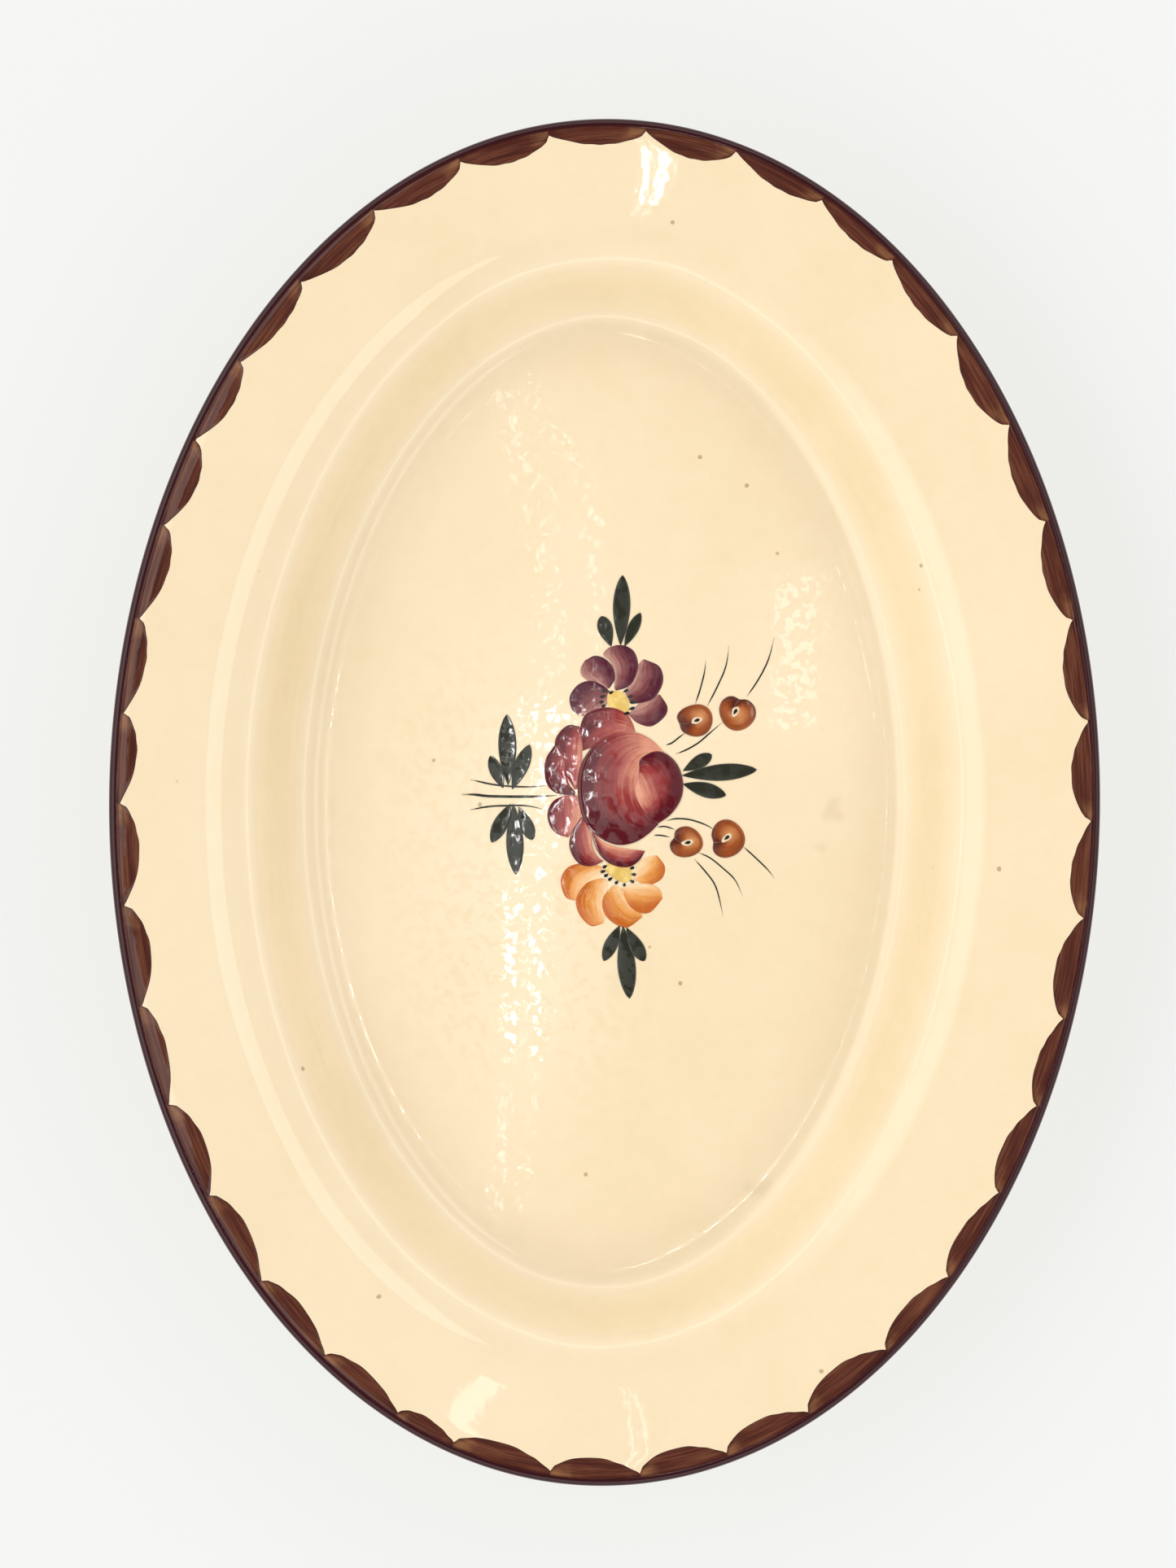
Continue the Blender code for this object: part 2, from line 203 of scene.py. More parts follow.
def smooth_line(points, count):
    """A line through the points, as count points an even run apart. Between two points it is the
    Catmull-Rom cubic, whose direction at each point is half the step from the one before to the one after."""
    points = np.asarray(points, float)
    if len(points) == 2:
        points = np.stack([points[0], points.mean(0), points[1]])
    ends = 2 * points[[0, -1]] - points[[1, -2]]
    padded = np.concatenate([ends[:1], points, ends[1:]])
    place = np.linspace(0, len(points) - 1, 30 * (len(points) - 1) + 1)
    first = np.minimum(place.astype(int), len(points) - 2)
    part = (place - first)[:, None]
    a, b, c, d = (padded[first + step] for step in range(4))
    line = b + part * (c - a) / 2 + part**2 * (a - 2.5 * b + 2 * c - d / 2)
    line = line + part**3 * (1.5 * (b - c) + (d - a) / 2)
    run = np.concatenate([[0], np.cumsum(np.linalg.norm(np.diff(line, axis=0), axis=1))])
    even = np.linspace(0, run[-1], count)
    return np.stack([np.interp(even, run, line[:, axis]) for axis in range(line.shape[1])], axis=-1)


def smooth_step(value, low, high):
    """0 below low, 1 above high, and the cubic 3t2 - 2t3 between."""
    part = np.clip((value - low) / (high - low), 0, 1)
    return part * part * (3 - 2 * part)


def oval(fractions):
    """Points of the outer oval at these fractions of its length round, from +X towards +Y, and the
    directions that point straight out of it there."""
    turn = np.linspace(0, 2 * math.pi, 7201)
    across, along = HALF_WIDTH * np.cos(turn), HALF_LENGTH * np.sin(turn)
    run = np.concatenate([[0], np.cumsum(np.hypot(np.diff(across), np.diff(along)))])
    angle = np.interp(np.asarray(fractions) % 1.0 * run[-1], run, turn)
    points = np.stack([HALF_WIDTH * np.cos(angle), HALF_LENGTH * np.sin(angle)], axis=-1)
    outward = np.stack([np.cos(angle) / HALF_WIDTH, np.sin(angle) / HALF_LENGTH], axis=-1)
    return points, outward / np.linalg.norm(outward, axis=-1, keepdims=True), run[-1]


def facing(slope):
    """The direction square to a surface that falls inwards at this slope, as (inwards, up)."""
    return np.stack([np.sin(slope), np.cos(slope)], axis=-1)


def arc(centre, radius, first, last, count):
    """Points round a centre whose directions turn evenly from one slope's facing to another's."""
    return centre + radius * facing(np.linspace(first, last, count))


def inner_line(dish, depth, count):
    """The section at this depth under the upper surface: rim, shoulder arc, straight wall and well arc."""
    lip_radius = dish.wall / 2
    skin = 2 * COLOUR_GAP
    lip = np.array([skin + lip_radius, TOP - skin - lip_radius])
    rim_start = lip + lip_radius * facing(dish.rim_slope)
    rim_run = dish.rim_width - rim_start[0]
    rim_end = rim_start + rim_run * np.array([1, -math.tan(dish.rim_slope)])
    shoulder = rim_end - dish.shoulder * facing(dish.rim_slope)
    shoulder_end = shoulder + dish.shoulder * facing(dish.wall_slope)
    drop = shoulder_end[1] - FLOOR_TOP - dish.well * (1 - math.cos(dish.wall_slope))
    wall_end = shoulder_end + drop * np.array([1 / math.tan(dish.wall_slope), -1])
    well = wall_end + dish.well * facing(dish.wall_slope)
    down = depth * facing(dish.rim_slope)
    return np.concatenate([
        [rim_start + rim_run * 0.1 * np.array([1, -math.tan(dish.rim_slope)]) - down],
        arc(shoulder, dish.shoulder - depth, dish.rim_slope, dish.wall_slope, count),
        arc(well, -(dish.well + depth), dish.wall_slope, 0.0, count),
    ])


def even_line(points, step):
    """The same line with points an even step apart."""
    run = np.concatenate([[0], np.cumsum(np.linalg.norm(np.diff(points, axis=0), axis=1))])
    even = np.linspace(0, run[-1], int(run[-1] / step) + 1)
    return np.stack([np.interp(even, run, points[:, axis]) for axis in range(2)], axis=-1)


# The section's smoothings: the bell's width, where along the section, in from the lip, it comes in, and where
# it fades out. The second lets the rim run into the shoulder over a longer stretch than other bends take.
SMOOTHINGS = (
    (1.1 * MM, (3.6 * MM, 6 * MM), None),
    (4.2 * MM, (14 * MM, 24 * MM), (32 * MM, 41 * MM)),
)
SECTION_STEP = 0.3 * MM


def section(dish):
    """The dish's section from the floor's edge on top, out over the lip and back to the floor's edge
    underneath. Each point is moved to the bell-weighted mean of its neighbours, so that the bends run into
    the flats as wet clay does, but the lip keeps its round."""
    bead = np.array([dish.film + dish.bead, TOP - dish.film - dish.bead])
    radius = dish.wall / 2 + COLOUR_GAP / 2
    lip = np.array([dish.film + radius, TOP - dish.film - dish.wall / 2 - 2 * COLOUR_GAP])
    top = inner_line(dish, 0.0, 24)[::-1]
    below = inner_line(dish, dish.wall, 16)
    over = arc(bead, dish.bead, math.radians(26), math.radians(-90), 30)
    under = arc(lip, radius, math.radians(-90), dish.rim_slope - math.pi, 20)
    line = even_line(np.concatenate([top, over, under, below]), SECTION_STEP)
    for bell, comes_in, fades_out in SMOOTHINGS:
        reach = int(3 * bell / SECTION_STEP)
        weights = np.exp(-0.5 * (np.arange(-reach, reach + 1) * SECTION_STEP / bell) ** 2)
        padded = np.pad(line, ((reach, reach), (0, 0)), "reflect", reflect_type="odd")
        spread = sum(w * padded[i : i + len(line)] for i, w in enumerate(weights)) / weights.sum()
        blend = smooth_step(line[:, :1], *comes_in)
        if fades_out:
            blend = blend * (1 - smooth_step(line[:, :1], *fades_out))
        line = line + (spread - line) * blend
    return line


def waves(x, y, shortest, longest, height, seed):
    """Seven sine waves that cross the dish in different directions, with lengths between the two given."""
    draw = np.random.default_rng(seed)
    total = np.zeros_like(x)
    for _ in range(7):
        turn, phase = draw.uniform(0, 2 * math.pi, 2)
        length = draw.uniform(shortest, longest)
        across = x * math.cos(turn) + y * math.sin(turn)
        total += np.sin(2 * math.pi * across / length + phase) * length / longest
    return height * total / 7


def unevenness(x, y):
    """How far the hand-pressed clay lies off its true shape: low waves all over, higher ones from the
    shoulder out, and on the floor's far half a lean to one side, as steep as leaning at the middle line, that
    dies away as a bell to both sides."""
    out = np.hypot(x / HALF_WIDTH, y / HALF_LENGTH)
    low_waves = waves(x, y, 30 * MM, 90 * MM, 0.025 * MM, SEED)
    leaning = 0.009 * smooth_step(y, -24 * MM, 6 * MM) * (1 - smooth_step(y, 80 * MM, 120 * MM))
    lean = x * leaning * np.exp(-((x / (45 * MM)) ** 2))
    rim_waves = waves(x, y, 40 * MM, 120 * MM, 0.22 * MM, SEED + 1)
    return low_waves + lean + rim_waves * smooth_step(out, 0.66, 0.85)


def floor_height(x, y, dish):
    """The floor's level: it sags from its edge as the fourth power of the distance from the middle."""
    inset = section(dish)[0, 0]
    out = np.hypot(x / (HALF_WIDTH - inset), y / (HALF_LENGTH - inset))
    return FLOOR_TOP - dish.floor_sag * (1 - np.minimum(out, 1) ** 4) + unevenness(x, y)


def make_mesh(name, places, quads, uv=None, tone=None, triangles=()):
    """A mesh object at the origin. uv is one pair and tone one number a corner of the grid."""
    mesh = bpy.data.meshes.new(name)
    mesh.from_pydata(places.tolist(), [], [list(map(int, face)) for face in [*quads, *triangles]])
    mesh.shade_smooth()
    if uv is not None:
        corners = np.empty(len(mesh.loops), int)
        mesh.loops.foreach_get("vertex_index", corners)
        layer = mesh.uv_layers.new(name="UVMap")
        layer.data.foreach_set("uv", uv[corners].astype(np.float32).ravel())
    if tone is not None:
        mesh.attributes.new("tone", "FLOAT", "POINT").data.foreach_set("value", tone.astype(np.float32))
    piece = bpy.data.objects.new(name, mesh)
    bpy.context.scene.collection.objects.link(piece)
    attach(piece, "root")
    return piece


def ring_quads(rows, columns):
    """The quads of a grid that closes on itself along its columns."""
    corner = np.arange(rows * columns).reshape(rows, columns)
    after = np.roll(corner, -1, axis=1)
    return np.stack([corner[:-1], corner[1:], after[1:], after[:-1]], axis=-1).reshape(-1, 4)


def slab_quads(rows, columns):
    """The quads of two grids of the same size, one over the other, joined all round their edges."""
    under = rows * columns
    upper = np.arange(under).reshape(rows, columns)
    top = np.stack([upper[:-1, :-1], upper[1:, :-1], upper[1:, 1:], upper[:-1, 1:]], axis=-1).reshape(-1, 4)
    around = np.concatenate([upper[0, :-1], upper[:-1, -1], upper[-1, :0:-1], upper[:0:-1, 0]])
    after = np.roll(around, -1)
    sides = np.stack([around, after, after + under, around + under], axis=-1)
    return np.concatenate([top, top[:, ::-1] + under, sides])


# ---------------------------------------------------------------------------------------------------------
# Shader maths
# ---------------------------------------------------------------------------------------------------------


class Socket:
    """A node's output that Python's arithmetic works on: each operator adds the Math node it stands for."""

    def __init__(self, finish, link):
        self.finish, self.link = finish, link

    def __add__(self, other):
        return self.finish.math("ADD", self, other)

    def __sub__(self, other):
        return self.finish.math("SUBTRACT", self, other)

    def __rsub__(self, other):
        return self.finish.math("SUBTRACT", other, self)

    def __mul__(self, other):
        return self.finish.math("MULTIPLY", self, other)

    __radd__ = __add__
    __rmul__ = __mul__


class Finish:
    """A material, or the world, in the making."""

    def __init__(self, tree, kind):
        self.tree = tree
        self.shader = next(node for node in tree.nodes if node.type == kind)

    def node(self, kind, settings=None, sockets=None, out=0):
        """Adds a node: its settings first, then the values or links of its sockets. Gives one output."""
        made = self.tree.nodes.new(kind)
        for name, value in (settings or {}).items():
            if name == "stops":
                ramp = made.color_ramp.elements
                while len(ramp) < len(value):
                    ramp.new(1.0)
                for stop, (place, colour) in zip(ramp, value):
                    stop.position, stop.color = place, (*colour, 1.0)
            else:
                setattr(made, name, value)
        for key, value in (sockets or {}).items():
            self.join(value, made.inputs[key])
        return Socket(self, made.outputs[out])

    def join(self, value, target):
        if isinstance(value, Socket):
            self.tree.links.new(value.link, target)
        else:
            target.default_value = value

    def set(self, **sockets):
        """Values or links for the shader's own sockets, with _ for the spaces in their names."""
        for name, value in sockets.items():
            self.join(value, self.shader.inputs[name.replace("_", " ")])

    def math(self, operation, *values):
        return self.node("ShaderNodeMath", {"operation": operation}, dict(enumerate(values)))

    def mix(self, factor, first, second):
        """The first colour where the factor is 0 and the second where it is 1."""
        settings = {"data_type": "RGBA", "blend_type": "MIX"}
        first, second = ((*c, 1.0) if isinstance(c, tuple) else c for c in (first, second))
        return self.node("ShaderNodeMix", settings, {0: factor, 6: first, 7: second}, out=2)

    def ramp(self, value, stops):
        return self.node("ShaderNodeValToRGB", {"stops": stops}, {"Fac": value})

    def between(self, value, low, high):
        """0 where the value is low and 1 where it is high, eased at both ends."""
        settings = {"interpolation_type": "SMOOTHSTEP", "clamp": True}
        return self.node("ShaderNodeMapRange", settings, {0: value, 1: low, 2: high})

    def noise(self, vector, scale, detail=2.0, roughness=0.5):
        sockets = {"Vector": vector, "Scale": scale, "Detail": detail, "Roughness": roughness}
        return self.node("ShaderNodeTexNoise", None, sockets)

    def place(self):
        """Where a point lies, in metres."""
        return self.node("ShaderNodeTexCoord", out=3)

    def parts(self, vector):
        """The vector's X, Y and Z."""
        first = self.node("ShaderNodeSeparateXYZ", None, {0: vector})
        outputs = first.link.node.outputs
        return [Socket(self, outputs[axis]) for axis in range(3)]

    def vector(self, x, y, z=0.0):
        return self.node("ShaderNodeCombineXYZ", None, {0: x, 1: y, 2: z})

    def along(self):
        """The piece's UV map, as its two numbers."""
        return self.parts(self.node("ShaderNodeTexCoord", out=2))[:2]

    def tone(self):
        """The number that the piece's mesh carries at each point."""
        return self.node("ShaderNodeAttribute", {"attribute_name": "tone"}, out=2)


def rgb(setting):
    return tuple(setting)


def new_finish(name):
    """A material with this name, as a finish to work on and as itself."""
    made = bpy.data.materials.get(name) or bpy.data.materials.new(name)
    made.use_nodes = True
    return Finish(made.node_tree, "BSDF_PRINCIPLED"), made


def under_glaze(finish, ripple=1.0, gloss=1.5):
    """The clear glaze over everything: fine ripples, and small duller patches that break up a reflection."""
    place = finish.place()
    fine = finish.noise(place, 340.0, 1.0)
    broad = finish.noise(place, 90.0, 1.0)
    sockets = {"Strength": 1.0, "Distance": 0.0045 * MM * ripple, "Height": fine + broad * 1.6}
    bump = finish.node("ShaderNodeBump", None, sockets)
    height = finish.parts(place)[2]
    flat = 1 - finish.between(height, FLOOR_TOP + 0.7 * MM, FLOOR_TOP + 1.5 * MM)
    dull = finish.between(finish.noise(place, 430.0, 2.0), 0.44, 0.52) * flat
    finish.set(Normal=bump, Roughness=dull * DULLER + CLEAR, IOR=gloss)


# ---------------------------------------------------------------------------------------------------------
# Finishes
# ---------------------------------------------------------------------------------------------------------


def cream_glaze(settings):
    """Cream glaze: slow drifts of colour, painted shade on the wall, kiln specks and faint smudges."""
    finish, made = new_finish("cream_glaze")
    dish = settings.dish
    place = finish.place()
    height = finish.parts(place)[2]
    drift = finish.noise(place, 9.0, 3.0, 0.6)
    cloud = finish.noise(place, 42.0, 4.0, 0.6)
    # Painted shade: a band up the well's wall, between floor and shoulder, darkens and yellows the glaze.
    low, high = FLOOR_TOP + 2.5 * MM, TOP - 13 * MM
    painted_wall_shade = finish.between(height, low, low + 4 * MM) * (1 - finish.between(height, high, high + 4 * MM))
    mottle = finish.noise(place, 190.0, 4.0, 0.7)
    # Drifts, clouds and mottle are the glaze's own uneven colour; the wall band adds the painted shade.
    thick = drift * 0.7 + cloud * 0.35 + mottle * 0.36 + painted_wall_shade * 0.18 - 0.39
    colour = finish.mix(finish.between(thick, 0.05, 0.85), rgb(dish.glaze), rgb(dish.glaze_shade))
    # Specks: a cell pattern in which only the rare cell has a dot at its middle.
    for scale, rare, size, speck in (
        (95.0, 0.992, 0.085, (0.10, 0.065, 0.045)),
        (240.0, 0.975, 0.15, (0.50, 0.34, 0.19)),
    ):
        cells = {"Vector": place, "Scale": scale, "Randomness": 1.0}
        cell = finish.node("ShaderNodeTexVoronoi", {"feature": "F1"}, cells)
        draw = finish.parts(Socket(finish, cell.link.node.outputs["Color"]))[0]
        ragged = finish.noise(place, 900.0, 2.0) * size
        dot = 1 - finish.between(cell, ragged + size * 0.2, ragged + size * 0.7)
        colour = finish.mix(dot * finish.between(draw, rare, rare + 0.004) * 0.85, colour, speck)
    smudge = finish.between(finish.noise(place, 26.0, 3.0, 0.7), 0.70, 0.80)
    colour = finish.mix(smudge * 0.34, colour, SMUDGE)
    finish.set(Base_Color=colour)
    under_glaze(finish)
    return made


def bare_clay(settings):
    """The foot: glazed at its sides and wiped bare along the edge that it stands on."""
    finish, made = new_finish("foot_clay")
    dish = settings.dish
    place = finish.place()
    height = finish.parts(place)[2]
    grain = finish.noise(place, 1400.0, 3.0)
    line = finish.noise(place, 60.0, 2.0) * 0.8 * MM + 0.4 * MM
    bare = 1 - finish.between(height, line, line + 0.3 * MM)
    clay = finish.mix(grain, rgb(dish.clay), DARK_CLAY)
    colour = finish.mix(bare, rgb(dish.glaze), clay)
    relief = {"Strength": 0.4, "Distance": 0.1 * MM, "Height": grain * bare}
    bump = finish.node("ShaderNodeBump", None, relief)
    finish.set(Base_Color=colour, Roughness=bare * 0.7 + 0.06, Normal=bump)
    return made


def brushed_brown(settings):
    """Brown slip in strokes: streaks along each stroke, a thick maroon lip, and a thin tan end."""
    finish, made = new_finish("brushed_brown")
    edge = settings.edge
    run, inwards = finish.along()
    inside = finish.tone()
    part = finish.math("FRACT", run)
    fine = finish.noise(finish.vector(run * 1.6, inwards * 1500.0), 1.0, 3.0, 0.65)
    bold = finish.noise(finish.vector(run * 1.1, inwards * 480.0), 1.0, 2.0, 0.5)
    patchy = finish.noise(finish.place(), 220.0, 3.0, 0.6)
    streak = fine * 0.6 + bold * 0.4
    end = finish.between(part + (patchy - 0.5) * 0.34, 0.74, 0.98)
    thin = finish.between(streak, 0.42, 0.72) * 0.30 + end * finish.between(inside, 0.2 * MM, 1.6 * MM) * 0.55
    colour = finish.mix(thin, rgb(edge.brown), rgb(edge.tan))
    dark = finish.between(streak, 0.30, 0.58)
    colour = finish.mix((1 - dark) * 0.65, colour, STREAK_BROWN)
    start = 1 - finish.between(part, 0.01, 0.16)
    outline = 1 - finish.between(inside, 0.05 * MM, 0.45 * MM)
    colour = finish.mix(outline * 0.45 + start * 0.45, colour, POOLED_BROWN)
    lip = 1 - finish.between(inwards + (patchy - 0.5) * 0.6 * MM, 1.9 * MM, 2.7 * MM)
    colour = finish.mix(lip, colour, rgb(edge.maroon))
    finish.set(Base_Color=colour)
    under_glaze(finish, BROWN_RIPPLE, gloss=1.38)
    return made


def brush_colour(name, deep, middle, pale, streaks=24.0, contrast=0.95):
    """Colour laid on with a loaded brush: deep on one side and pale on the other, with bristle streaks."""
    finish, made = new_finish(name)
    along, across = finish.along()
    tone = finish.tone()
    fine = finish.noise(finish.vector(along * 2.2, across * streaks), 1.0, 4.0, 0.6)
    bold = finish.noise(finish.vector(along * 1.3 + 5.0, across * streaks * 0.35), 1.0, 2.0, 0.5)
    cloud = finish.noise(finish.place(), 320.0, 3.0, 0.6)
    shade = tone + (fine * 0.55 + bold * 0.35 + cloud * 0.25 - 0.575) * contrast
    colour = finish.ramp(shade, [(0.16, deep), (0.50, middle), (0.92, pale)])
    finish.set(Base_Color=colour)
    under_glaze(finish, BRUSH_RIPPLE)
    return made


def flat_colour(name, colour, darker):
    """Colour dabbed on in one load, a little uneven."""
    finish, made = new_finish(name)
    cloud = finish.noise(finish.place(), 420.0, 3.0, 0.6)
    finish.set(Base_Color=finish.mix(finish.between(cloud, 0.35, 0.7), darker, colour))
    under_glaze(finish, DAB_RIPPLE)
    return made


def line_colour(settings):
    """A thin brush line that runs out of colour towards both its ends, where the cream shows through."""
    finish, made = new_finish("line_colour")
    along = finish.math("FRACT", finish.along()[0])
    ends = finish.between(along, 0.0, 0.14) * (1 - finish.between(along, 0.74, 1.0))
    grain = finish.noise(finish.place(), 700.0, 2.0)
    cover = finish.between(ends + (grain - 0.5) * 0.5, 0.0, 0.75) * 0.8 + 0.2
    finish.set(Base_Color=finish.mix(cover, BARE_LINE, rgb(settings.motif.leaf)))
    under_glaze(finish, DAB_RIPPLE)
    return made


# ---------------------------------------------------------------------------------------------------------
# The dish
# ---------------------------------------------------------------------------------------------------------


def thinned(line):
    """The section with every point kept over the lip, and fewer where it bends less: every third on the rim,
    every second from the shoulder to the floor, and every sixth underneath."""
    number = np.arange(len(line))
    on_top = number < np.argmin(line[:, 0])
    every = np.where(on_top, np.where(line[:, 0] < 30 * MM, 3, 2), 6)
    keep = (line[:, 0] < 4 * MM) | (number % every == 0)
    keep[-1] = True
    return line[keep]


def carried_round(line, columns):
    """The section carried round the oval: each point lies straight in from the oval by its first number, at
    the height of its second."""
    points, outward, _ = oval(np.arange(columns) / columns)
    plan = points[None] - outward[None] * line[:, None, :1]
    height = np.broadcast_to(line[:, None, 1:], (*plan.shape[:2], 1))
    return np.concatenate([plan, height], axis=-1)


def build_dish(settings):
    """The dish: its section carried round the oval, and above and below the flat floor, whose rings are the
    floor's outline drawn in step by step to the middle."""
    dish = settings.dish
    line = thinned(section(dish))
    columns, rings = STEPS_ROUND, 26
    body = carried_round(line, columns)
    shares = (np.arange(1, rings) / rings) ** 0.9
    upper = body[:1] * [1, 1, 0] * shares[:, None, None]
    upper[..., 2] = FLOOR_TOP - dish.floor_sag * (1 - shares[:, None] ** 4)
    lower = body[-1:] * [1, 1, 0] * shares[::-1, None, None] + [0, 0, line[-1, 1]]
    places = np.concatenate([upper, body, lower])
    rows = len(places)
    closing_points = [[0, 0, FLOOR_TOP - dish.floor_sag], [0, 0, line[-1, 1]]]
    places = np.concatenate([places.reshape(-1, 3), closing_points])
    places[:, 2] += unevenness(places[:, 0], places[:, 1])
    places[:, 2] = np.maximum(places[:, 2], CAD_LOW.z)
    first = np.arange(columns)
    after = np.roll(first, -1)
    last = (rows - 1) * columns
    poles = rows * columns
    fans = [*zip([poles] * columns, first, after), *zip([poles + 1] * columns, last + after, last + first)]
    piece = make_mesh("glazed_dish", places, ring_quads(rows, columns), triangles=fans)
    piece.data.materials.append(cream_glaze(settings))
    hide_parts("clay_body")


def build_foot(settings):
    """The foot: a low strip under the floor's edge, its section a rounded bar carried round the oval."""
    width_out = HALF_WIDTH - FOOT_HIGH.x
    wide, tall = 6.0 * MM, FOOT_HIGH.z + 0.8 * MM
    taper, round_edge = 0.6 * MM, 0.9 * MM
    outer = np.array([width_out + taper + round_edge, round_edge])
    inner = np.array([width_out + wide - taper - round_edge, round_edge])
    left = arc(outer, round_edge, math.radians(-90), math.radians(-180), 6)
    right = arc(inner, round_edge, math.radians(180), math.radians(90), 6)
    line = np.concatenate([[[width_out, tall]], left, right, [[width_out + wide, tall]]])
    places = carried_round(line, STEPS_ROUND)
    rows, columns = places.shape[:2]
    corner = np.arange(rows * columns).reshape(rows, columns)
    corner = np.concatenate([corner, corner[:1]])
    after = np.roll(corner, -1, axis=1)
    quads = np.stack([corner[:-1], corner[1:], after[1:], after[:-1]], axis=-1).reshape(-1, 4)
    piece = make_mesh("foot", places.reshape(-1, 3), quads[:, ::-1])
    piece.data.materials.append(bare_clay(settings))
    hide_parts("foot_ring")


def build_edge(settings):
    """The brushed edge: a thin coat over the lip. Round the oval it is cut into strokes, which run clockwise.
    A stroke reaches in by the cusp depth plus a bump: the sine of half a turn over its length, skewed so that
    it starts slender and ends blunt."""
    dish, edge = settings.dish, settings.edge
    draw = np.random.default_rng(SEED + 2)
    steps = 28
    closing_at = 0.7085
    lip_inset = 2.6 * MM
    thin_coat = 0.03 * MM
    _, _, round_length = oval([0.0])
    widths = 1 + draw.uniform(-0.07, 0.07, edge.strokes)
    widths[0] = 0
    widths *= (round_length - edge.closing) / widths.sum()
    widths[0] = edge.closing
    depths = edge.depth * (1 + draw.uniform(-0.13, 0.10, edge.strokes))
    depths[0] = 0.78 * edge.depth
    cusps = edge.cusp * (1 + draw.uniform(-0.2, 0.25, edge.strokes))
    skews = draw.uniform(1.08, 1.24, edge.strokes)
    part = np.arange(steps)[None] / steps
    starts = np.cumsum(widths) - widths
    run = starts[:, None] + widths[:, None] * part
    blunt = 0.72 - 0.20 * part
    bump = np.sin(math.pi * part ** skews[:, None]) ** blunt
    base = cusps[:, None] * (1 - part) + np.roll(cusps, -1)[:, None] * part
    reach = (base + (depths[:, None] - base) * bump).ravel()
    number = np.arange(len(reach))
    shaky = 0.08 * MM * np.sin(number * 0.9 + 2 * np.sin(number * 0.23))
    reach = reach + shaky
    fractions = closing_at - run.ravel() / round_length

    line = section(dish)
    edge_at = int(np.argmin(line[:, 0]))
    length = np.concatenate([[0], np.cumsum(np.linalg.norm(np.diff(line, axis=0), axis=1))])
    side = np.gradient(line, axis=0)
    side /= np.linalg.norm(side, axis=1, keepdims=True)
    square = np.stack([side[:, 1], -side[:, 0]], axis=-1)
    begin = np.interp(-reach, -line[: edge_at + 1, 0], length[: edge_at + 1])
    finish_at = np.interp(edge.underside + 3 * MM, line[edge_at:, 0], length[edge_at:])
    # The rows over the lip are the same in every column, so that the coat follows the lip's curve.
    inner_rows, lip_rows = 14, 24
    rows = inner_rows + lip_rows
    lip_at = np.interp(-lip_inset, -line[: edge_at + 1, 0], length[: edge_at + 1])
    inner = begin[None] + (lip_at - begin[None]) * (np.arange(inner_rows) / inner_rows)[:, None]
    on_the_lip = lip_at + (finish_at - lip_at) * np.linspace(0, 1, lip_rows)[:, None]
    at = np.concatenate([inner, on_the_lip + 0 * begin[None]])
    inset = np.interp(at, length, line[:, 0])
    height = np.interp(at, length, line[:, 1])
    lean_in = np.interp(at, length, square[:, 0])
    lean_up = np.interp(at, length, square[:, 1])
    norm = np.hypot(lean_in, lean_up)
    lean_in, lean_up = lean_in / norm, lean_up / norm
    from_edge = at - begin[None]
    on_lip = 1 - smooth_step(inset, 1.7 * MM, 2.8 * MM)
    coat = thin_coat * smooth_step(from_edge, -0.6 * MM, 0.6 * MM) + (dish.film - thin_coat) * on_lip
    coat[-2:] *= 0.4
    points, outward, _ = oval(fractions)

    def layer(lift):
        over_in, over_up = inset + lean_in * lift, height + lean_up * lift
        plan = points[None] - outward[None] * over_in[..., None]
        return np.concatenate([plan, over_up[..., None]], axis=-1)

    places = np.stack([layer(coat), layer(-0.06 * MM * np.ones_like(at))])
    places[..., 2] += unevenness(places[..., 0], places[..., 1])
    count = rows * len(reach)
    outer = ring_quads(rows, len(reach))
    corner = np.arange(count).reshape(rows, len(reach))
    after = np.roll(corner, -1, axis=1)
    walls = [
        np.stack([corner[0], after[0], after[0] + count, corner[0] + count], axis=-1),
        np.stack([after[-1], corner[-1], corner[-1] + count, after[-1] + count], axis=-1),
    ]
    quads = np.concatenate([outer[:, ::-1], outer + count, *walls])
    piece = make_mesh("brushed_edge", places.reshape(-1, 3), quads, tone=np.tile(from_edge.ravel(), 2))
    # The map's first number counts strokes, so the last column's faces run on to the full count.
    column = np.tile(np.arange(len(reach)), 2 * rows)
    corners = np.empty(len(piece.data.loops), int)
    piece.data.loops.foreach_get("vertex_index", corners)
    across = column[corners].reshape(-1, 4)
    wrapped = (across == 0) & (across.max(axis=1, keepdims=True) == len(reach) - 1)
    stroke = (across + wrapped * len(reach)) / steps
    inwards = np.where(at > length[edge_at], 0.0, inset)
    inwards = np.tile(inwards.ravel(), 2)[corners]
    layer_uv = piece.data.uv_layers.new(name="UVMap")
    layer_uv.data.foreach_set("uv", np.stack([stroke.ravel(), inwards], axis=-1).astype(np.float32).ravel())
    piece.data.materials.append(brushed_brown(settings))
    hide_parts("painted_edge")


# ---------------------------------------------------------------------------------------------------------
# Strokes of colour on the floor
# ---------------------------------------------------------------------------------------------------------


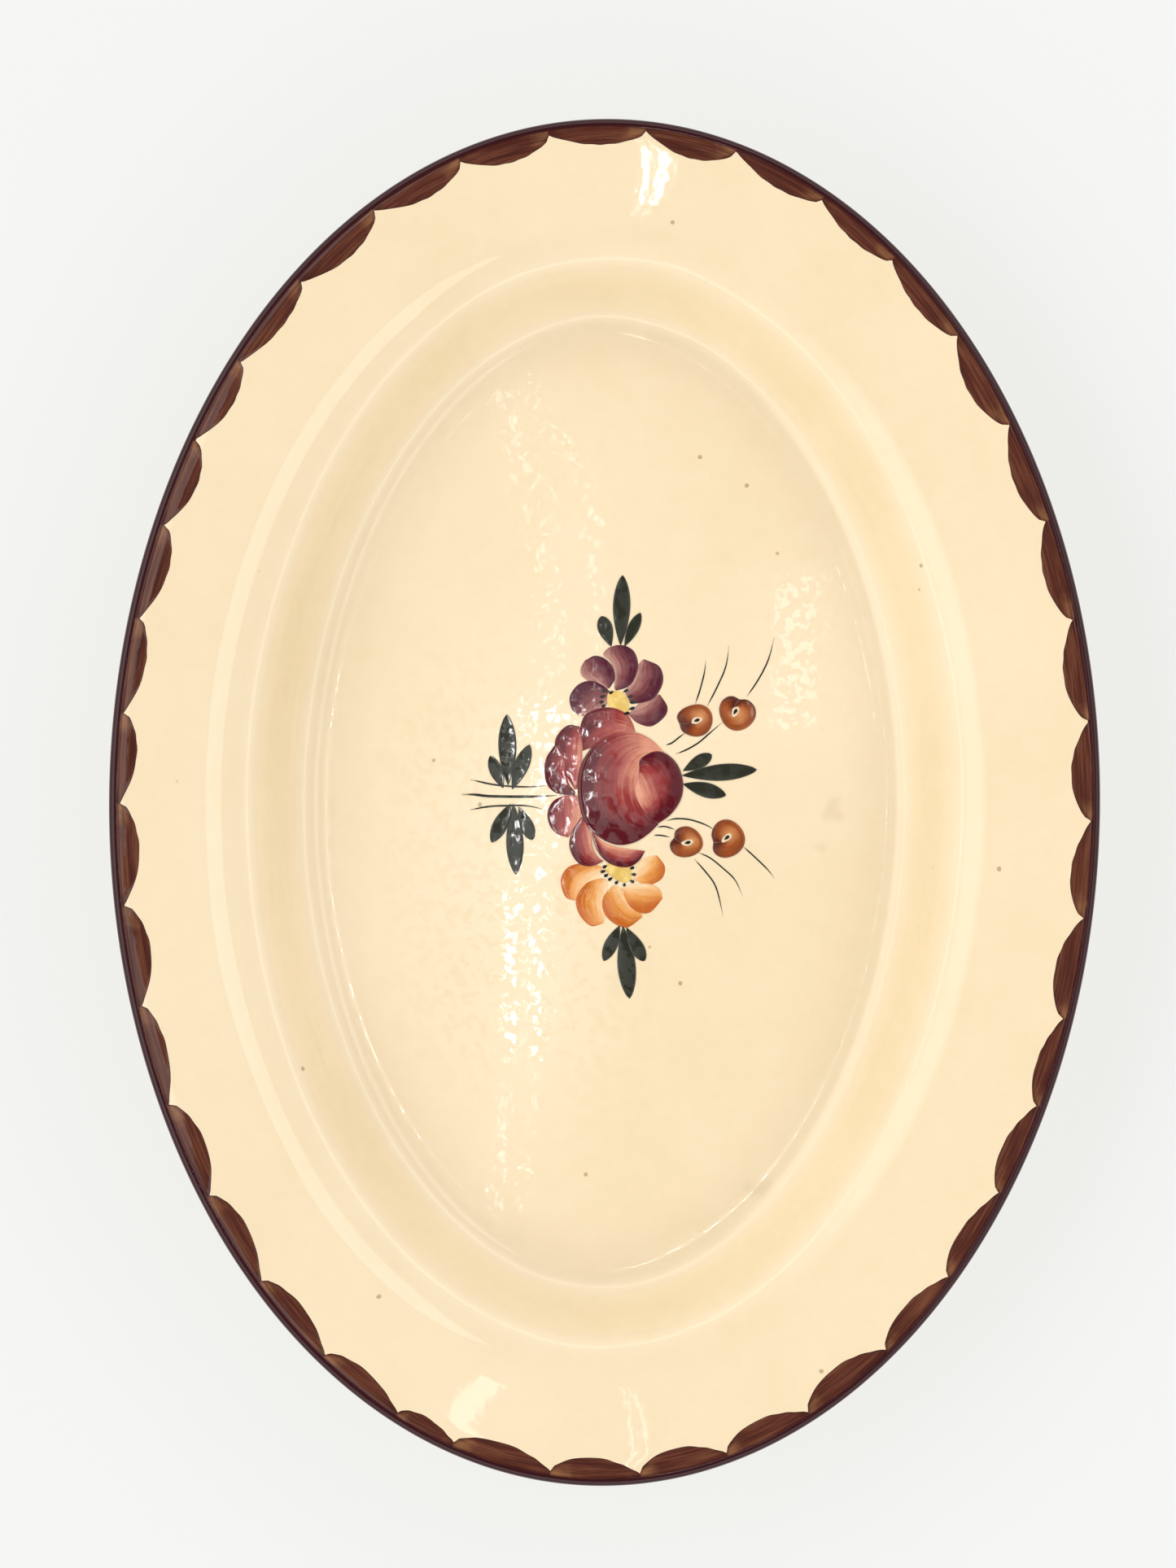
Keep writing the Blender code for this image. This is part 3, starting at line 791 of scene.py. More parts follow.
class Strokes:
    """Closed thin strokes gathered into one piece. A stroke is the surface between two lines, its lift over
    the floor a low half-sine across it, and its underside lies just in the glaze."""

    def __init__(self, dish):
        self.dish = dish
        self.places, self.quads, self.uv, self.tone, self.kinds = [], [], [], [], []
        self.count = 0

    def add(self, first, second, tones=((0.0,), (1.0,)), layer=0, kind=0, steps=(30, 12), crown=0.006):
        """first and second are lines in millimetres, and tones the shades along each of them. The layer is
        how many strokes lie under this one, and crown how many millimetres its middle stands up."""
        rows, columns = steps
        along = np.linspace(0, 1, rows)[:, None]
        across = np.linspace(0, 1, columns)[None]
        lines = [smooth_line(line, rows)[:, None] * MM for line in (first, second)]
        plan = lines[0] * (1 - across[..., None]) + lines[1] * across[..., None]
        shades = [np.interp(along, np.linspace(0, 1, len(tone)), tone) for tone in tones]
        shade = shades[0] * (1 - across) + shades[1] * across
        level = floor_height(plan[..., 0], plan[..., 1], self.dish)
        rise = crown * MM * np.sin(math.pi * across) ** 0.7 * np.ones_like(along)
        lift = STROKE_FILM + LAYER_FILM * layer + rise
        upper = np.concatenate([plan, (level + lift)[..., None]], axis=-1).reshape(-1, 3)
        lower = np.concatenate([plan, (level - SUNK)[..., None]], axis=-1).reshape(-1, 3)
        quads = slab_quads(rows, columns)
        # The lines may run either way round, so the faces are turned over where they would point down.
        middle = upper.reshape(rows, columns, 3)
        du = middle[rows // 2 + 1, columns // 2] - middle[rows // 2, columns // 2]
        dv = middle[rows // 2, columns // 2 + 1] - middle[rows // 2, columns // 2]
        if np.cross(du, dv)[2] < 0:
            quads = quads[:, ::-1]
        number = len(self.places)
        uv = np.stack([along + 3 * number + 0 * across, across + 0 * along], axis=-1).reshape(-1, 2)
        self.places.append(np.concatenate([upper, lower]))
        self.quads.append(quads + self.count)
        self.uv.append(np.tile(uv, (2, 1)))
        self.tone.append(np.tile(shade.ravel(), 2))
        self.kinds.append(np.full(len(quads), kind))
        self.count += 2 * rows * columns

    def piece(self, name, materials, slot, nodes=()):
        """Makes the piece, which stands for these CAD nodes."""
        places, quads = np.concatenate(self.places), np.concatenate(self.quads)
        made = make_mesh(name, places, quads, uv=np.concatenate(self.uv), tone=np.concatenate(self.tone))
        for finish in materials:
            made.data.materials.append(finish)
        made.data.polygons.foreach_set("material_index", np.concatenate(self.kinds).astype(np.int32))
        if nodes:
            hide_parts(*nodes)


def brush_line(points, width):
    """The two sides of a brush line: its middle line moved out to both sides by half its width, which swells
    from both ends and more slowly from the last."""
    middle = smooth_line(points, 24)
    step = np.gradient(middle, axis=0)
    step /= np.linalg.norm(step, axis=1, keepdims=True)
    side = np.stack([-step[:, 1], step[:, 0]], axis=-1)
    part = np.linspace(0, 1, 24)
    share = np.minimum(0.35 + 4 * part, 1) * np.minimum(0.1 + 2.4 * (1 - part), 1)
    half = width / 2 * share[:, None]
    return middle + side * half, middle - side * half


def leaf_sides(base, tip, width, blunt):
    """The two sides of a leaf stroke: half the width times the sine of half a turn along it, skewed towards
    the tip, and flattened to a rounder end where the leaf is blunt."""
    base, tip = np.asarray(base, float), np.asarray(tip, float)
    part = np.linspace(0, 1, 25)
    skew, power = (1.45, 0.58) if blunt else (1.22, 0.66)
    half = width / 2 * np.maximum(np.sin(math.pi * part**skew) ** power, 0.03)
    step = (tip - base) / np.linalg.norm(tip - base)
    side = np.array([-step[1], step[0]])
    middle = base + (tip - base) * part[:, None]
    return middle + side * half[:, None], middle - side * half[:, None]


# A stroke is its loaded side, its thin side, and the shades along each, from 0, deep, to 1, pale.
ROSE = [
    ([(-6.8, 13.8), (-6.7, 19.4), (-5.4, 23.2), (-1.9, 25.1), (2.1, 25.3), (5.7, 23.8), (7.4, 21.2),
       (8.2, 18.8)],
     [(-6.4, 13.4), (-4.5, 14.2), (-1.0, 15.2), (3.0, 16.6), (6.0, 17.6), (8.3, 18.3)],
     ((0.15, 0.0, 0.2, 0.45, 0.6), (0.25, 0.45, 0.75, 0.9))),
    ([(-6.9, 20.2), (-9.8, 20.5), (-12.4, 18.3), (-13.4, 15.2), (-12.0, 10.0), (-8.0, 3.4)],
     [(-6.6, 19.9), (-6.0, 15.0), (-6.2, 9.0), (-7.4, 3.4)],
     ((0.1, 0.0, 0.1, 0.4), (0.4, 0.8, 0.75, 0.6))),
    ([(-13.4, 15.1), (-15.5, 12.0), (-16.1, 8.8), (-15.6, 5.0), (-13.7, 2.7), (-11.0, 1.9), (-7.9, 1.7)],
     [(-12.9, 15.2), (-11.0, 12.2), (-10.3, 8.2), (-9.6, 5.0), (-7.8, 2.6)],
     ((0.0, 0.0, 0.0, 0.1), (0.35, 0.55, 0.45, 0.05))),
    ([(-11.1, 1.5), (-13.7, 0.1), (-15.2, -3.0), (-14.5, -6.5), (-12.4, -8.7), (-9.8, -9.5)],
     [(-10.6, 1.6), (-7.0, 1.4), (-6.0, -2.4), (-7.4, -6.8), (-9.6, -9.6)],
     ((0.2, 0.05, 0.15, 0.4), (0.5, 0.85, 0.95, 0.7))),
    ([(-6.1, -4.1), (-8.4, -7.6), (-9.3, -11.3), (-8.3, -14.6), (-6.3, -16.7), (-3.3, -17.2), (-0.3, -16.0)],
     [(-5.8, -4.2), (-3.6, -8.2), (-3.0, -12.0), (-1.6, -14.6), (-0.1, -15.8)],
     ((0.05, 0.0, 0.1, 0.35), (0.5, 0.85, 0.8, 0.6))),
    ([(-3.3, -8.2), (-2.2, -12.3), (0.2, -15.5), (3.4, -17.2), (6.9, -17.3), (9.5, -15.6), (10.9, -13.3)],
     [(-3.0, -8.1), (-0.5, -10.5), (3.0, -11.9), (7.1, -12.6), (10.9, -13.0)],
     ((0.0, 0.0, 0.0, 0.05), (0.7, 1.0, 0.95, 0.5))),
    ([(15.9, 13.5), (12.4, 16.9), (8.2, 18.8), (3.9, 18.9), (-0.1, 17.5), (-3.6, 14.5), (-6.2, 10.3),
       (-7.2, 5.4),
      (-6.9, 0.4), (-5.8, -4.0), (-3.4, -7.7), (0.1, -10.3), (4.2, -11.5), (8.3, -10.7), (11.8, -8.5),
       (14.4, -6.0)],
     [(15.5, 12.6), (12.6, 11.4), (11.0, 9.0), (10.2, 5.0), (10.6, 0.0), (12.0, -3.4), (14.2, -5.6)],
     ((0.9, 0.75, 0.3, 0.0, 0.0, 0.0, 0.0, 0.0, 0.0), (0.95, 0.9, 0.9, 0.8, 0.60, 0.36, 0.10))),
    ([(-4.9, -5.9), (-3.4, -7.7), (0.1, -10.3), (4.2, -11.5), (8.3, -10.7), (11.8, -8.5), (14.5, -5.9)],
     [(-4.7, -5.6), (-1.0, -6.3), (4.5, -7.0), (9.5, -6.9), (14.4, -5.6)],
     ((0.0, 0.0, 0.0), (0.12, 0.2, 0.12))),
    ([(9.3, 8.7), (9.6, 11.6), (13.3, 13.7), (16.8, 12.9), (19.8, 9.7), (21.1, 5.0), (20.4, 0.6),
       (17.8, -3.2),
      (14.4, -5.7)],
     [(9.6, 8.5), (9.0, 6.6), (8.3, 3.4), (9.2, 0.0), (11.2, -2.8), (13.6, -5.5)],
     ((0.15, 0.0, 0.0, 0.0, 0.0, 0.0), (0.3, 0.85, 1.0, 0.85, 0.35, 0.0))),
]
PLUM_FLOWER = [
    ([(6.3, 23.4), (8.8, 21.2), (12.5, 20.4), (16.0, 23.0), (16.7, 25.7), (14.8, 28.8)],
     [(6.5, 24.0), (9.5, 26.9), (12.0, 28.4), (14.5, 29.0)],
     ((0.4, 0.15, 0.0, 0.1), (0.75, 0.85, 0.8))),
    ([(6.9, 26.3), (10.5, 26.8), (13.4, 28.2), (15.5, 32.4), (14.5, 36.4), (10.6, 38.3)],
     [(5.2, 29.6), (6.6, 32.5), (8.0, 36.0), (10.0, 38.3)],
     ((0.1, 0.0, 0.0, 0.2), (0.8, 0.85, 0.75))),
    ([(2.9, 29.9), (5.4, 30.6), (7.5, 32.4), (8.8, 36.4), (7.8, 40.2), (5.4, 41.9), (2.9, 42.1)],
     [(2.4, 30.6), (2.4, 34.5), (1.3, 37.6), (-0.6, 39.4), (0.6, 41.2), (2.6, 42.0)],
     ((0.1, 0.0, 0.0, 0.0, 0.15), (0.75, 0.8, 0.85, 0.35))),
    ([(1.3, 30.7), (2.6, 33.1), (2.1, 36.0), (0.1, 38.3), (-2.7, 39.2), (-5.2, 38.1)],
     [(0.5, 30.3), (-3.0, 31.6), (-6.2, 33.6), (-6.6, 35.8), (-5.6, 37.8)],
     ((0.05, 0.0, 0.05, 0.25), (0.75, 0.8, 0.6))),
    ([(1.1, 29.8), (-1.2, 31.6), (-4.2, 32.5), (-7.4, 31.3), (-9.5, 28.2), (-9.0, 25.0), (-7.4, 23.4)],
     [(1.0, 29.2), (0.6, 26.6), (-1.4, 24.0), (-4.4, 22.9), (-7.0, 23.2)],
     ((0.05, 0.0, 0.0, 0.05), (0.65, 0.8, 0.7))),
]
ORANGE_FLOWER = [
    ([(8.0, -20.9), (12.1, -22.1), (15.6, -20.4), (16.4, -17.2), (14.3, -14.2)],
     [(7.8, -20.2), (8.7, -16.9), (10.8, -14.9), (13.9, -14.1)],
     ((0.6, 0.15, 0.05, 0.2), (0.9, 1.0, 0.8))),
    ([(-0.2, -17.3), (-5.2, -16.4), (-9.6, -17.6), (-11.5, -21.0), (-10.3, -25.4), (-7.8, -26.5)],
     [(0.2, -17.8), (-1.8, -20.6), (-4.2, -23.4), (-7.4, -26.3)],
     ((0.5, 0.1, 0.0, 0.15), (0.9, 1.0, 0.75))),
    ([(-0.7, -20.4), (-4.6, -21.8), (-7.3, -25.7), (-6.6, -29.9), (-3.4, -33.2), (-0.2, -32.6)],
     [(0.9, -20.8), (1.0, -24.0), (0.8, -28.0), (0.2, -32.2)],
     ((0.45, 0.1, 0.0, 0.1, 0.3), (0.9, 0.95, 0.75))),
    ([(2.4, -22.4), (-0.1, -25.6), (0.0, -29.2), (2.4, -32.2), (6.3, -33.6), (10.2, -31.0)],
     [(3.8, -22.4), (6.6, -24.6), (9.0, -27.4), (10.5, -30.6)],
     ((0.45, 0.05, 0.0, 0.1), (0.9, 0.9, 0.5))),
    ([(4.9, -23.5), (6.6, -27.3), (9.4, -29.5), (12.6, -29.4), (15.7, -25.9)],
     [(4.9, -22.9), (8.4, -22.0), (12.2, -21.8), (15.0, -23.2), (15.8, -25.4)],
     ((0.5, 0.1, 0.0, 0.1), (0.95, 1.0, 0.8, 0.5))),
]
PLUM_CENTRE = ([(0.5, 26.4), (0.8, 29.2), (2.9, 29.9), (5.2, 29.0), (6.3, 26.8)],
               [(0.6, 26.1), (2.2, 25.0), (4.4, 23.9), (6.2, 24.4), (6.4, 26.5)])
ORANGE_CENTRE = ([(0.6, -18.4), (0.9, -16.6), (3.8, -16.2), (6.9, -17.4), (7.4, -19.0)],
                 [(0.7, -18.7), (3.0, -20.6), (5.4, -21.5), (7.2, -20.9), (7.4, -19.3)])
STAMENS = [
    ((0.6, 30.1), (-0.8, 29.5)), ((2.3, 29.7), (1.0, 29.1)), ((0.2, 28.6), (-1.4, 28.0)),
    ((-0.2, 27.0), (-1.7, 26.6)), ((0.3, 26.0), (-1.0, 25.6)), ((4.8, 29.5), (6.2, 30.2)),
    ((5.9, 28.2), (7.4, 28.5)), ((6.5, 26.7), (8.2, 26.9)), ((6.3, 24.8), (8.0, 25.4)), ((4.9, 23.6),
       (6.6, 24.0)),
    ((1.0, -17.0), (-0.3, -17.6)), ((0.6, -18.4), (-0.9, -18.8)), ((1.3, -19.3), (0.1, -20.0)),
    ((2.4, -20.2), (1.2, -21.0)), ((3.9, -21.0), (3.1, -22.0)), ((5.6, -21.6), (5.5, -22.6)),
    ((7.0, -20.9), (8.2, -21.5)), ((6.9, -17.9), (8.2, -17.4)), ((7.3, -19.3), (8.7, -19.4)),
]
# A leaf: base, tip, width, and whether its tip is blunt.
SPRIGS = {
    "top": [((4.0, 42.0), (4.4, 60.8), 4.4, False), ((1.5, 41.7), (-1.2, 49.8), 3.8, True),
            ((5.1, 41.8), (9.3, 50.8), 2.9, False)],
    "bottom": [((5.3, -33.2), (7.2, -52.6), 4.6, False), ((4.4, -33.1), (0.2, -42.6), 3.4, False),
               ((6.2, -33.6), (11.1, -42.5), 3.5, True)],
    "left_upper": [((-25.8, 4.3), (-26.3, 23.2), 4.6, False), ((-27.1, 3.5), (-30.7, 12.1), 3.3, False),
                   ((-24.7, 3.2), (-20.1, 15.2), 3.8, False)],
    "left_lower": [((-24.3, -0.7), (-23.5, -19.6), 4.4, False), ((-25.1, -0.7), (-30.1, -11.1), 3.8, False),
                   ((-22.9, -1.5), (-19.1, -10.3), 3.5, True)],
    "right": [((20.8, 7.3), (40.8, 9.0), 4.3, False), ((21.0, 8.5), (28.7, 12.9), 3.4, True),
              ((21.1, 5.0), (32.6, 2.1), 3.8, False)],
}
LEAF_SIDES = ("middle", "left", "right")
# A berry: its middle, width and height, the middle of its pale spot, and which way its seed points.
BERRIES = [
    ((24.1, 22.1), (9.1, 8.6), (24.6, 22.1), 20), ((35.4, 24.2), (9.4, 9.0), (34.9, 24.5), 60),
    ((22.0, -10.6), (8.8, 7.7), (22.4, -10.7), 15), ((33.0, -9.6), (9.2, 9.5), (32.9, -9.3), 40),
]
# A line: its points and its width.
LINES = [
    ([(-35.9, 5.7), (-28.7, 4.3), (-20.7, 3.9), (-14.0, 4.5)], 0.6),
    ([(-38.2, 1.7), (-34.7, 1.7), (-30.2, 1.3), (-19.4, 1.3), (-10.8, 1.8)], 0.9),
    ([(-36.0, -2.4), (-31.2, -1.5), (-26.7, -1.2), (-20.7, -1.2), (-15.0, -2.4)], 0.6),
    ([(16.3, 15.4), (18.0, 16.0), (19.9, 17.5), (21.8, 18.9)], 0.55),
    ([(19.0, 13.0), (21.9, 14.2), (25.1, 16.1), (28.2, 18.8), (31.8, 21.9)], 0.55),
    ([(24.2, 26.6), (25.4, 30.3), (26.5, 34.8), (26.9, 38.3)], 0.5),
    ([(27.4, 26.0), (29.6, 30.3), (31.9, 35.5), (32.7, 39.0), (33.0, 42.2)], 0.5),
    ([(38.0, 28.6), (40.9, 33.0), (43.1, 37.2), (44.3, 40.7), (45.1, 44.4)], 0.5),
    ([(16.7, -4.9), (19.2, -4.3), (22.8, -4.5), (26.5, -5.6), (29.0, -6.9), (30.4, -8.5)], 0.55),
    ([(14.3, -6.6), (16.1, -6.4), (17.8, -6.8), (19.1, -7.3)], 0.5),
    ([(13.4, -8.8), (15.2, -8.8), (17.9, -9.3)], 0.5),
    ([(24.3, -15.1), (27.5, -18.7), (29.7, -21.7), (30.9, -25.1), (32.1, -30.4)], 0.5),
    ([(25.0, -13.2), (28.4, -14.7), (32.1, -17.6), (35.2, -20.6), (37.3, -24.9)], 0.5),
    ([(37.3, -11.6), (40.0, -14.0), (43.7, -17.5), (45.9, -20.2)], 0.5),
]


def build_flower(settings, name, petals, colours, slot, first_layer):
    """A flower's petals, each a stroke that lies over the one before it."""
    strokes = Strokes(settings.dish)
    for number, (loaded, thin, tones) in enumerate(petals):
        strokes.add(loaded, thin, tones, layer=first_layer + number, steps=(44, 16))
    made = brush_colour(name + "_colour", *(rgb(c) for c in colours))
    strokes.piece(name + "_petals", [made], slot, [name])


def build_centres(settings):
    """The yellow dabs in the two flowers, and the dark dashes round them."""
    motif = settings.motif
    yellow = flat_colour("yellow_colour", rgb(motif.yellow), DARK_YELLOW)
    for name, sides in (("plum_flower_centre", PLUM_CENTRE), ("orange_flower_centre", ORANGE_CENTRE)):
        strokes = Strokes(settings.dish)
        strokes.add(*sides, layer=5)
        strokes.piece(name + "_dab", [yellow], "yellow", [name])
    strokes = Strokes(settings.dish)
    for base, tip in STAMENS:
        strokes.add(*leaf_sides(base, tip, 0.85, True), layer=8, steps=(14, 6))
    dark = flat_colour("stamen_colour", rgb(motif.leaf), STAMEN_SHADE)
    strokes.piece("stamen_dashes", [dark], "leaf_green")


def build_leaves(settings):
    """The leaves, in sprigs of three."""
    motif = settings.motif
    dark = rgb(motif.leaf)
    finish = brush_colour("leaf_colour", dark, dark, rgb(motif.leaf_pale), 9.0, 0.7)
    for sprig, leaves in SPRIGS.items():
        strokes = Strokes(settings.dish)
        for number, (base, tip, width, blunt) in enumerate(leaves):
            sides = leaf_sides(base, tip, 1.06 * width, blunt)
            tones = ((0.0,), (0.3, 0.75, 0.75, 0.5))
            strokes.add(*sides, tones, layer=6 + number, steps=(36, 11), crown=0.002)
        nodes = [f"leaf_{sprig}_{side}" for side in LEAF_SIDES]
        strokes.piece(f"leaf_sprig_{sprig}", [finish], "leaf_green", nodes)


def build_berries(settings):
    """Berries: a stroke that runs once round a pale spot, and a dark seed in the spot."""
    motif = settings.motif
    rust_shades = rgb(motif.rust_deep), rgb(motif.rust), rgb(motif.rust_pale)
    finish = brush_colour("rust_colour", *rust_shades, 6.0, 0.8)
    dark = flat_colour("seed_colour", SEED_COLOUR, SEED_SHADE)
    draw = np.random.default_rng(SEED + 3)
    for number, (middle, size, spot, lean) in enumerate(BERRIES, 1):
        strokes = Strokes(settings.dish)
        opening = math.radians(draw.uniform(60, 200))
        turn = opening + np.linspace(0.01, 2 * math.pi - 0.01, 41)
        since = turn - opening
        # The stroke dips a little where it closes on itself, and bulges beside the dip.
        dip = np.exp(-((np.minimum(since, 2 * math.pi - since) / 0.33) ** 2))
        lumps = 1.04 - 0.17 * dip
        for bulges in (2, 3):
            lumps = lumps + 0.04 * np.sin(bulges * turn + draw.uniform(0, 6))
        round_line = np.stack([np.cos(turn), np.sin(turn)], axis=-1)
        outer = np.array(middle) + round_line * np.array(size) / 2 * lumps[:, None]
        lean = math.radians(lean)
        tilt = np.array([[math.cos(lean), math.sin(lean)], [-math.sin(lean), math.cos(lean)]])
        inner = np.array(spot) + round_line * [1.55, 0.9] * (2 - lumps[:, None]) @ tilt
        tones = ((0.0, 0.35, 0.30, 0.45, 0.30, 0.1), (0.1, 0.65, 0.75, 0.95, 0.75, 0.2))
        strokes.add(outer, inner, tones, layer=6, steps=(60, 9), crown=0.015)
        seed = np.array(spot) + np.array([[-0.85, 0.0], [0.85, 0.0]]) @ tilt
        strokes.add(*leaf_sides(seed[0], seed[1], 0.85, True), layer=8, kind=1, steps=(14, 6))
        strokes.piece(f"berry_{number}_stroke", [finish, dark], "rust", [f"berry_{number}"])


def build_lines(settings):
    """Stalks and whiskers."""
    strokes = Strokes(settings.dish)
    for points, width in LINES:
        strokes.add(*brush_line(points, 0.78 * width), layer=3, steps=(40, 5), crown=0.0)
    strokes.piece("stalks_and_whiskers", [line_colour(settings)], "leaf_green")


# ---------------------------------------------------------------------------------------------------------
# The stage
# ---------------------------------------------------------------------------------------------------------


def area_lamp(name, place, size, radiance, aim=(0.0, 0.0, 0.0)):
    """A rectangular lamp that faces aim. Its power is radiance times its area times pi."""
    data = bpy.data.lights.new(name, "AREA")
    data.shape = "RECTANGLE"
    data.size, data.size_y = size
    data.energy = radiance * math.pi * size[0] * size[1]
    lamp = bpy.data.objects.new(name, data)
    bpy.context.scene.collection.objects.link(lamp)
    place = np.array(place)
    back = place - np.array(aim)
    distance = np.linalg.norm(back)
    tilt = math.acos(back[2] / distance)
    lamp.location = place
    if tilt > 1e-6:
        lamp.rotation_mode = "AXIS_ANGLE"
        axis = np.array([-back[1], back[0], 0.0])
        axis /= np.linalg.norm(axis)
        lamp.rotation_axis_angle = (tilt, *axis)


LAMP_HEIGHT = 2.2
TUBE_WIDTH = 0.0025
# The tubes' stretches: where each is along the dish, how long it is, and how bright.
TUBE_STRETCHES = {"near": (-0.066, 0.26, 62.0), "far": (0.18, 0.237, 9.0), "end": (-0.25, 0.107, 10.0)}


def build_stage(settings):
    """The room's soft light, a pale floor, two long tubes overhead that mirror in the well, a window, a soft
    lamp, and a camera that looks straight down."""
    stage = settings.stage
    scene = bpy.context.scene
    scene.view_settings.view_transform = "Standard"

    world = bpy.data.worlds.new("soft_room")
    world.use_nodes = True
    scene.world = world
    sky = Finish(world.node_tree, "BACKGROUND")
    x, y, z = sky.parts(sky.node("ShaderNodeTexCoord", out=0))
    # Brightness by height: bright low down all round, dim overhead, as in a tent of white cloth.
    rings = [(0.0, 0.12), (0.10, 0.26), (0.30, 0.55), (0.45, 0.66), (0.49, 1.3), (0.53, 1.3), (0.58, 0.62),
             (0.76, 0.26), (0.87, 0.10), (0.93, 0.04), (0.965, 0.12), (0.997, 0.09)]
    room = sky.noise(sky.vector(x, y, z * 0.3), 2.4, 1.0)
    level = z + (room - 0.5) * 0.22 * (1 - sky.between(z, 0.85, 0.97))
    light = sky.ramp(level, [(height, (bright, bright, bright)) for height, bright in rings])
    # A soft window on the left, low enough to mirror in the right shoulder.
    across = sky.between(x * -1.0, 0.42, 0.60) * (1 - sky.between(x * -1.0, 0.72, 0.86))
    along = 1 - sky.between(sky.math("ABSOLUTE", y), 0.30, 0.60)
    light = sky.mix(across * along, light, (1.0, 1.0, 0.97))
    sky.set(Color=light, Strength=2.36)

    half = 3.0
    mesh = bpy.data.meshes.new("pale_floor")
    corners = [(-half, -half, 0), (half, -half, 0), (half, half, 0), (-half, half, 0)]
    mesh.from_pydata(corners, [], [(0, 1, 2, 3)])
    floor = bpy.data.objects.new("pale_floor", mesh)
    scene.collection.objects.link(floor)
    finish, made = new_finish("pale_floor")
    paper = finish.noise(finish.place(), 2.5, 3.0)
    shade = tuple(0.96 * c for c in stage.floor)
    colour = finish.mix(paper, shade, rgb(stage.floor))
    finish.set(Base_Color=(0.23, 0.23, 0.23, 1.0), Roughness=0.9, Specular_IOR_Level=0.1)
    finish.set(Emission_Color=colour, Emission_Strength=0.77)
    mesh.materials.append(made)

    for name, across in (("tube_left", -0.059), ("tube_right", -0.041)):
        for stretch, (along, long, radiance) in TUBE_STRETCHES.items():
            place, aim = (across, along, LAMP_HEIGHT), (across, along, 0.0)
            area_lamp(f"{name}_{stretch}", place, (TUBE_WIDTH, long), radiance, aim)
    area_lamp("window_right", (0.62, 0.0, 2.0), (0.40, 1.4), 1.7)
    area_lamp("soft_patch", (0.156, 0.10, LAMP_HEIGHT), (0.03, 0.11), 3.6)

    camera = bpy.data.objects.new("camera", bpy.data.cameras.new("camera"))
    scene.collection.objects.link(camera)
    camera.data.lens = stage.lens
    camera.data.sensor_width = 36.0
    rim_level = TOP - 0.5 * MM
    camera.location = (stage.aim_across, stage.aim_along, rim_level + stage.camera_height)
    camera.rotation_euler = (0.0, 0.0, stage.turn)
    camera.data.clip_start, camera.data.clip_end = 0.05, 20.0
    scene.camera = camera


# ---------------------------------------------------------------------------------------------------------
# The add-on
# ---------------------------------------------------------------------------------------------------------


class PlatterSettings(bpy.types.PropertyGroup):
    """Everything that can be changed."""

    dish: bpy.props.PointerProperty(type=DishSettings, name="Dish", description="Section and glaze")
    edge: bpy.props.PointerProperty(type=EdgeSettings, name="Edge", description="The brushed edge")
    motif: bpy.props.PointerProperty(type=MotifSettings, name="Motif", description="The spray's colours")
    stage: bpy.props.PointerProperty(type=StageSettings, name="Stage", description="Camera, floor and lamps")


class PLATTER_OT_dish(bpy.types.Operator):
    """Make the glazed dish"""

    bl_idname = "platter.dish"
    bl_label = "Dish"

    def execute(self, context):
        build_dish(context.scene.platter)
        return {"FINISHED"}


class PLATTER_OT_foot(bpy.types.Operator):
    """Make the foot"""

    bl_idname = "platter.foot"
    bl_label = "Foot"

    def execute(self, context):
        build_foot(context.scene.platter)
        return {"FINISHED"}


class PLATTER_OT_edge(bpy.types.Operator):
    """Brush the brown strokes round the lip"""

    bl_idname = "platter.edge"
    bl_label = "Brushed edge"

    def execute(self, context):
        build_edge(context.scene.platter)
        return {"FINISHED"}


class PLATTER_OT_flowers(bpy.types.Operator):
    """Paint the rose, the two flowers and their centres"""

    bl_idname = "platter.flowers"
    bl_label = "Flowers"

    def execute(self, context):
        settings = context.scene.platter
        m = settings.motif
        plum = (m.plum_deep, m.plum, m.plum_pale)
        orange = (m.orange_deep, m.orange, m.orange_pale)
        crimson = (m.crimson_deep, m.crimson, m.crimson_pale)
        build_flower(settings, "plum_flower", PLUM_FLOWER, plum, "plum", 0)
        build_flower(settings, "orange_flower", ORANGE_FLOWER, orange, "orange", 0)
        build_centres(settings)
        build_flower(settings, "rose", ROSE, crimson, "crimson", 6)
        return {"FINISHED"}


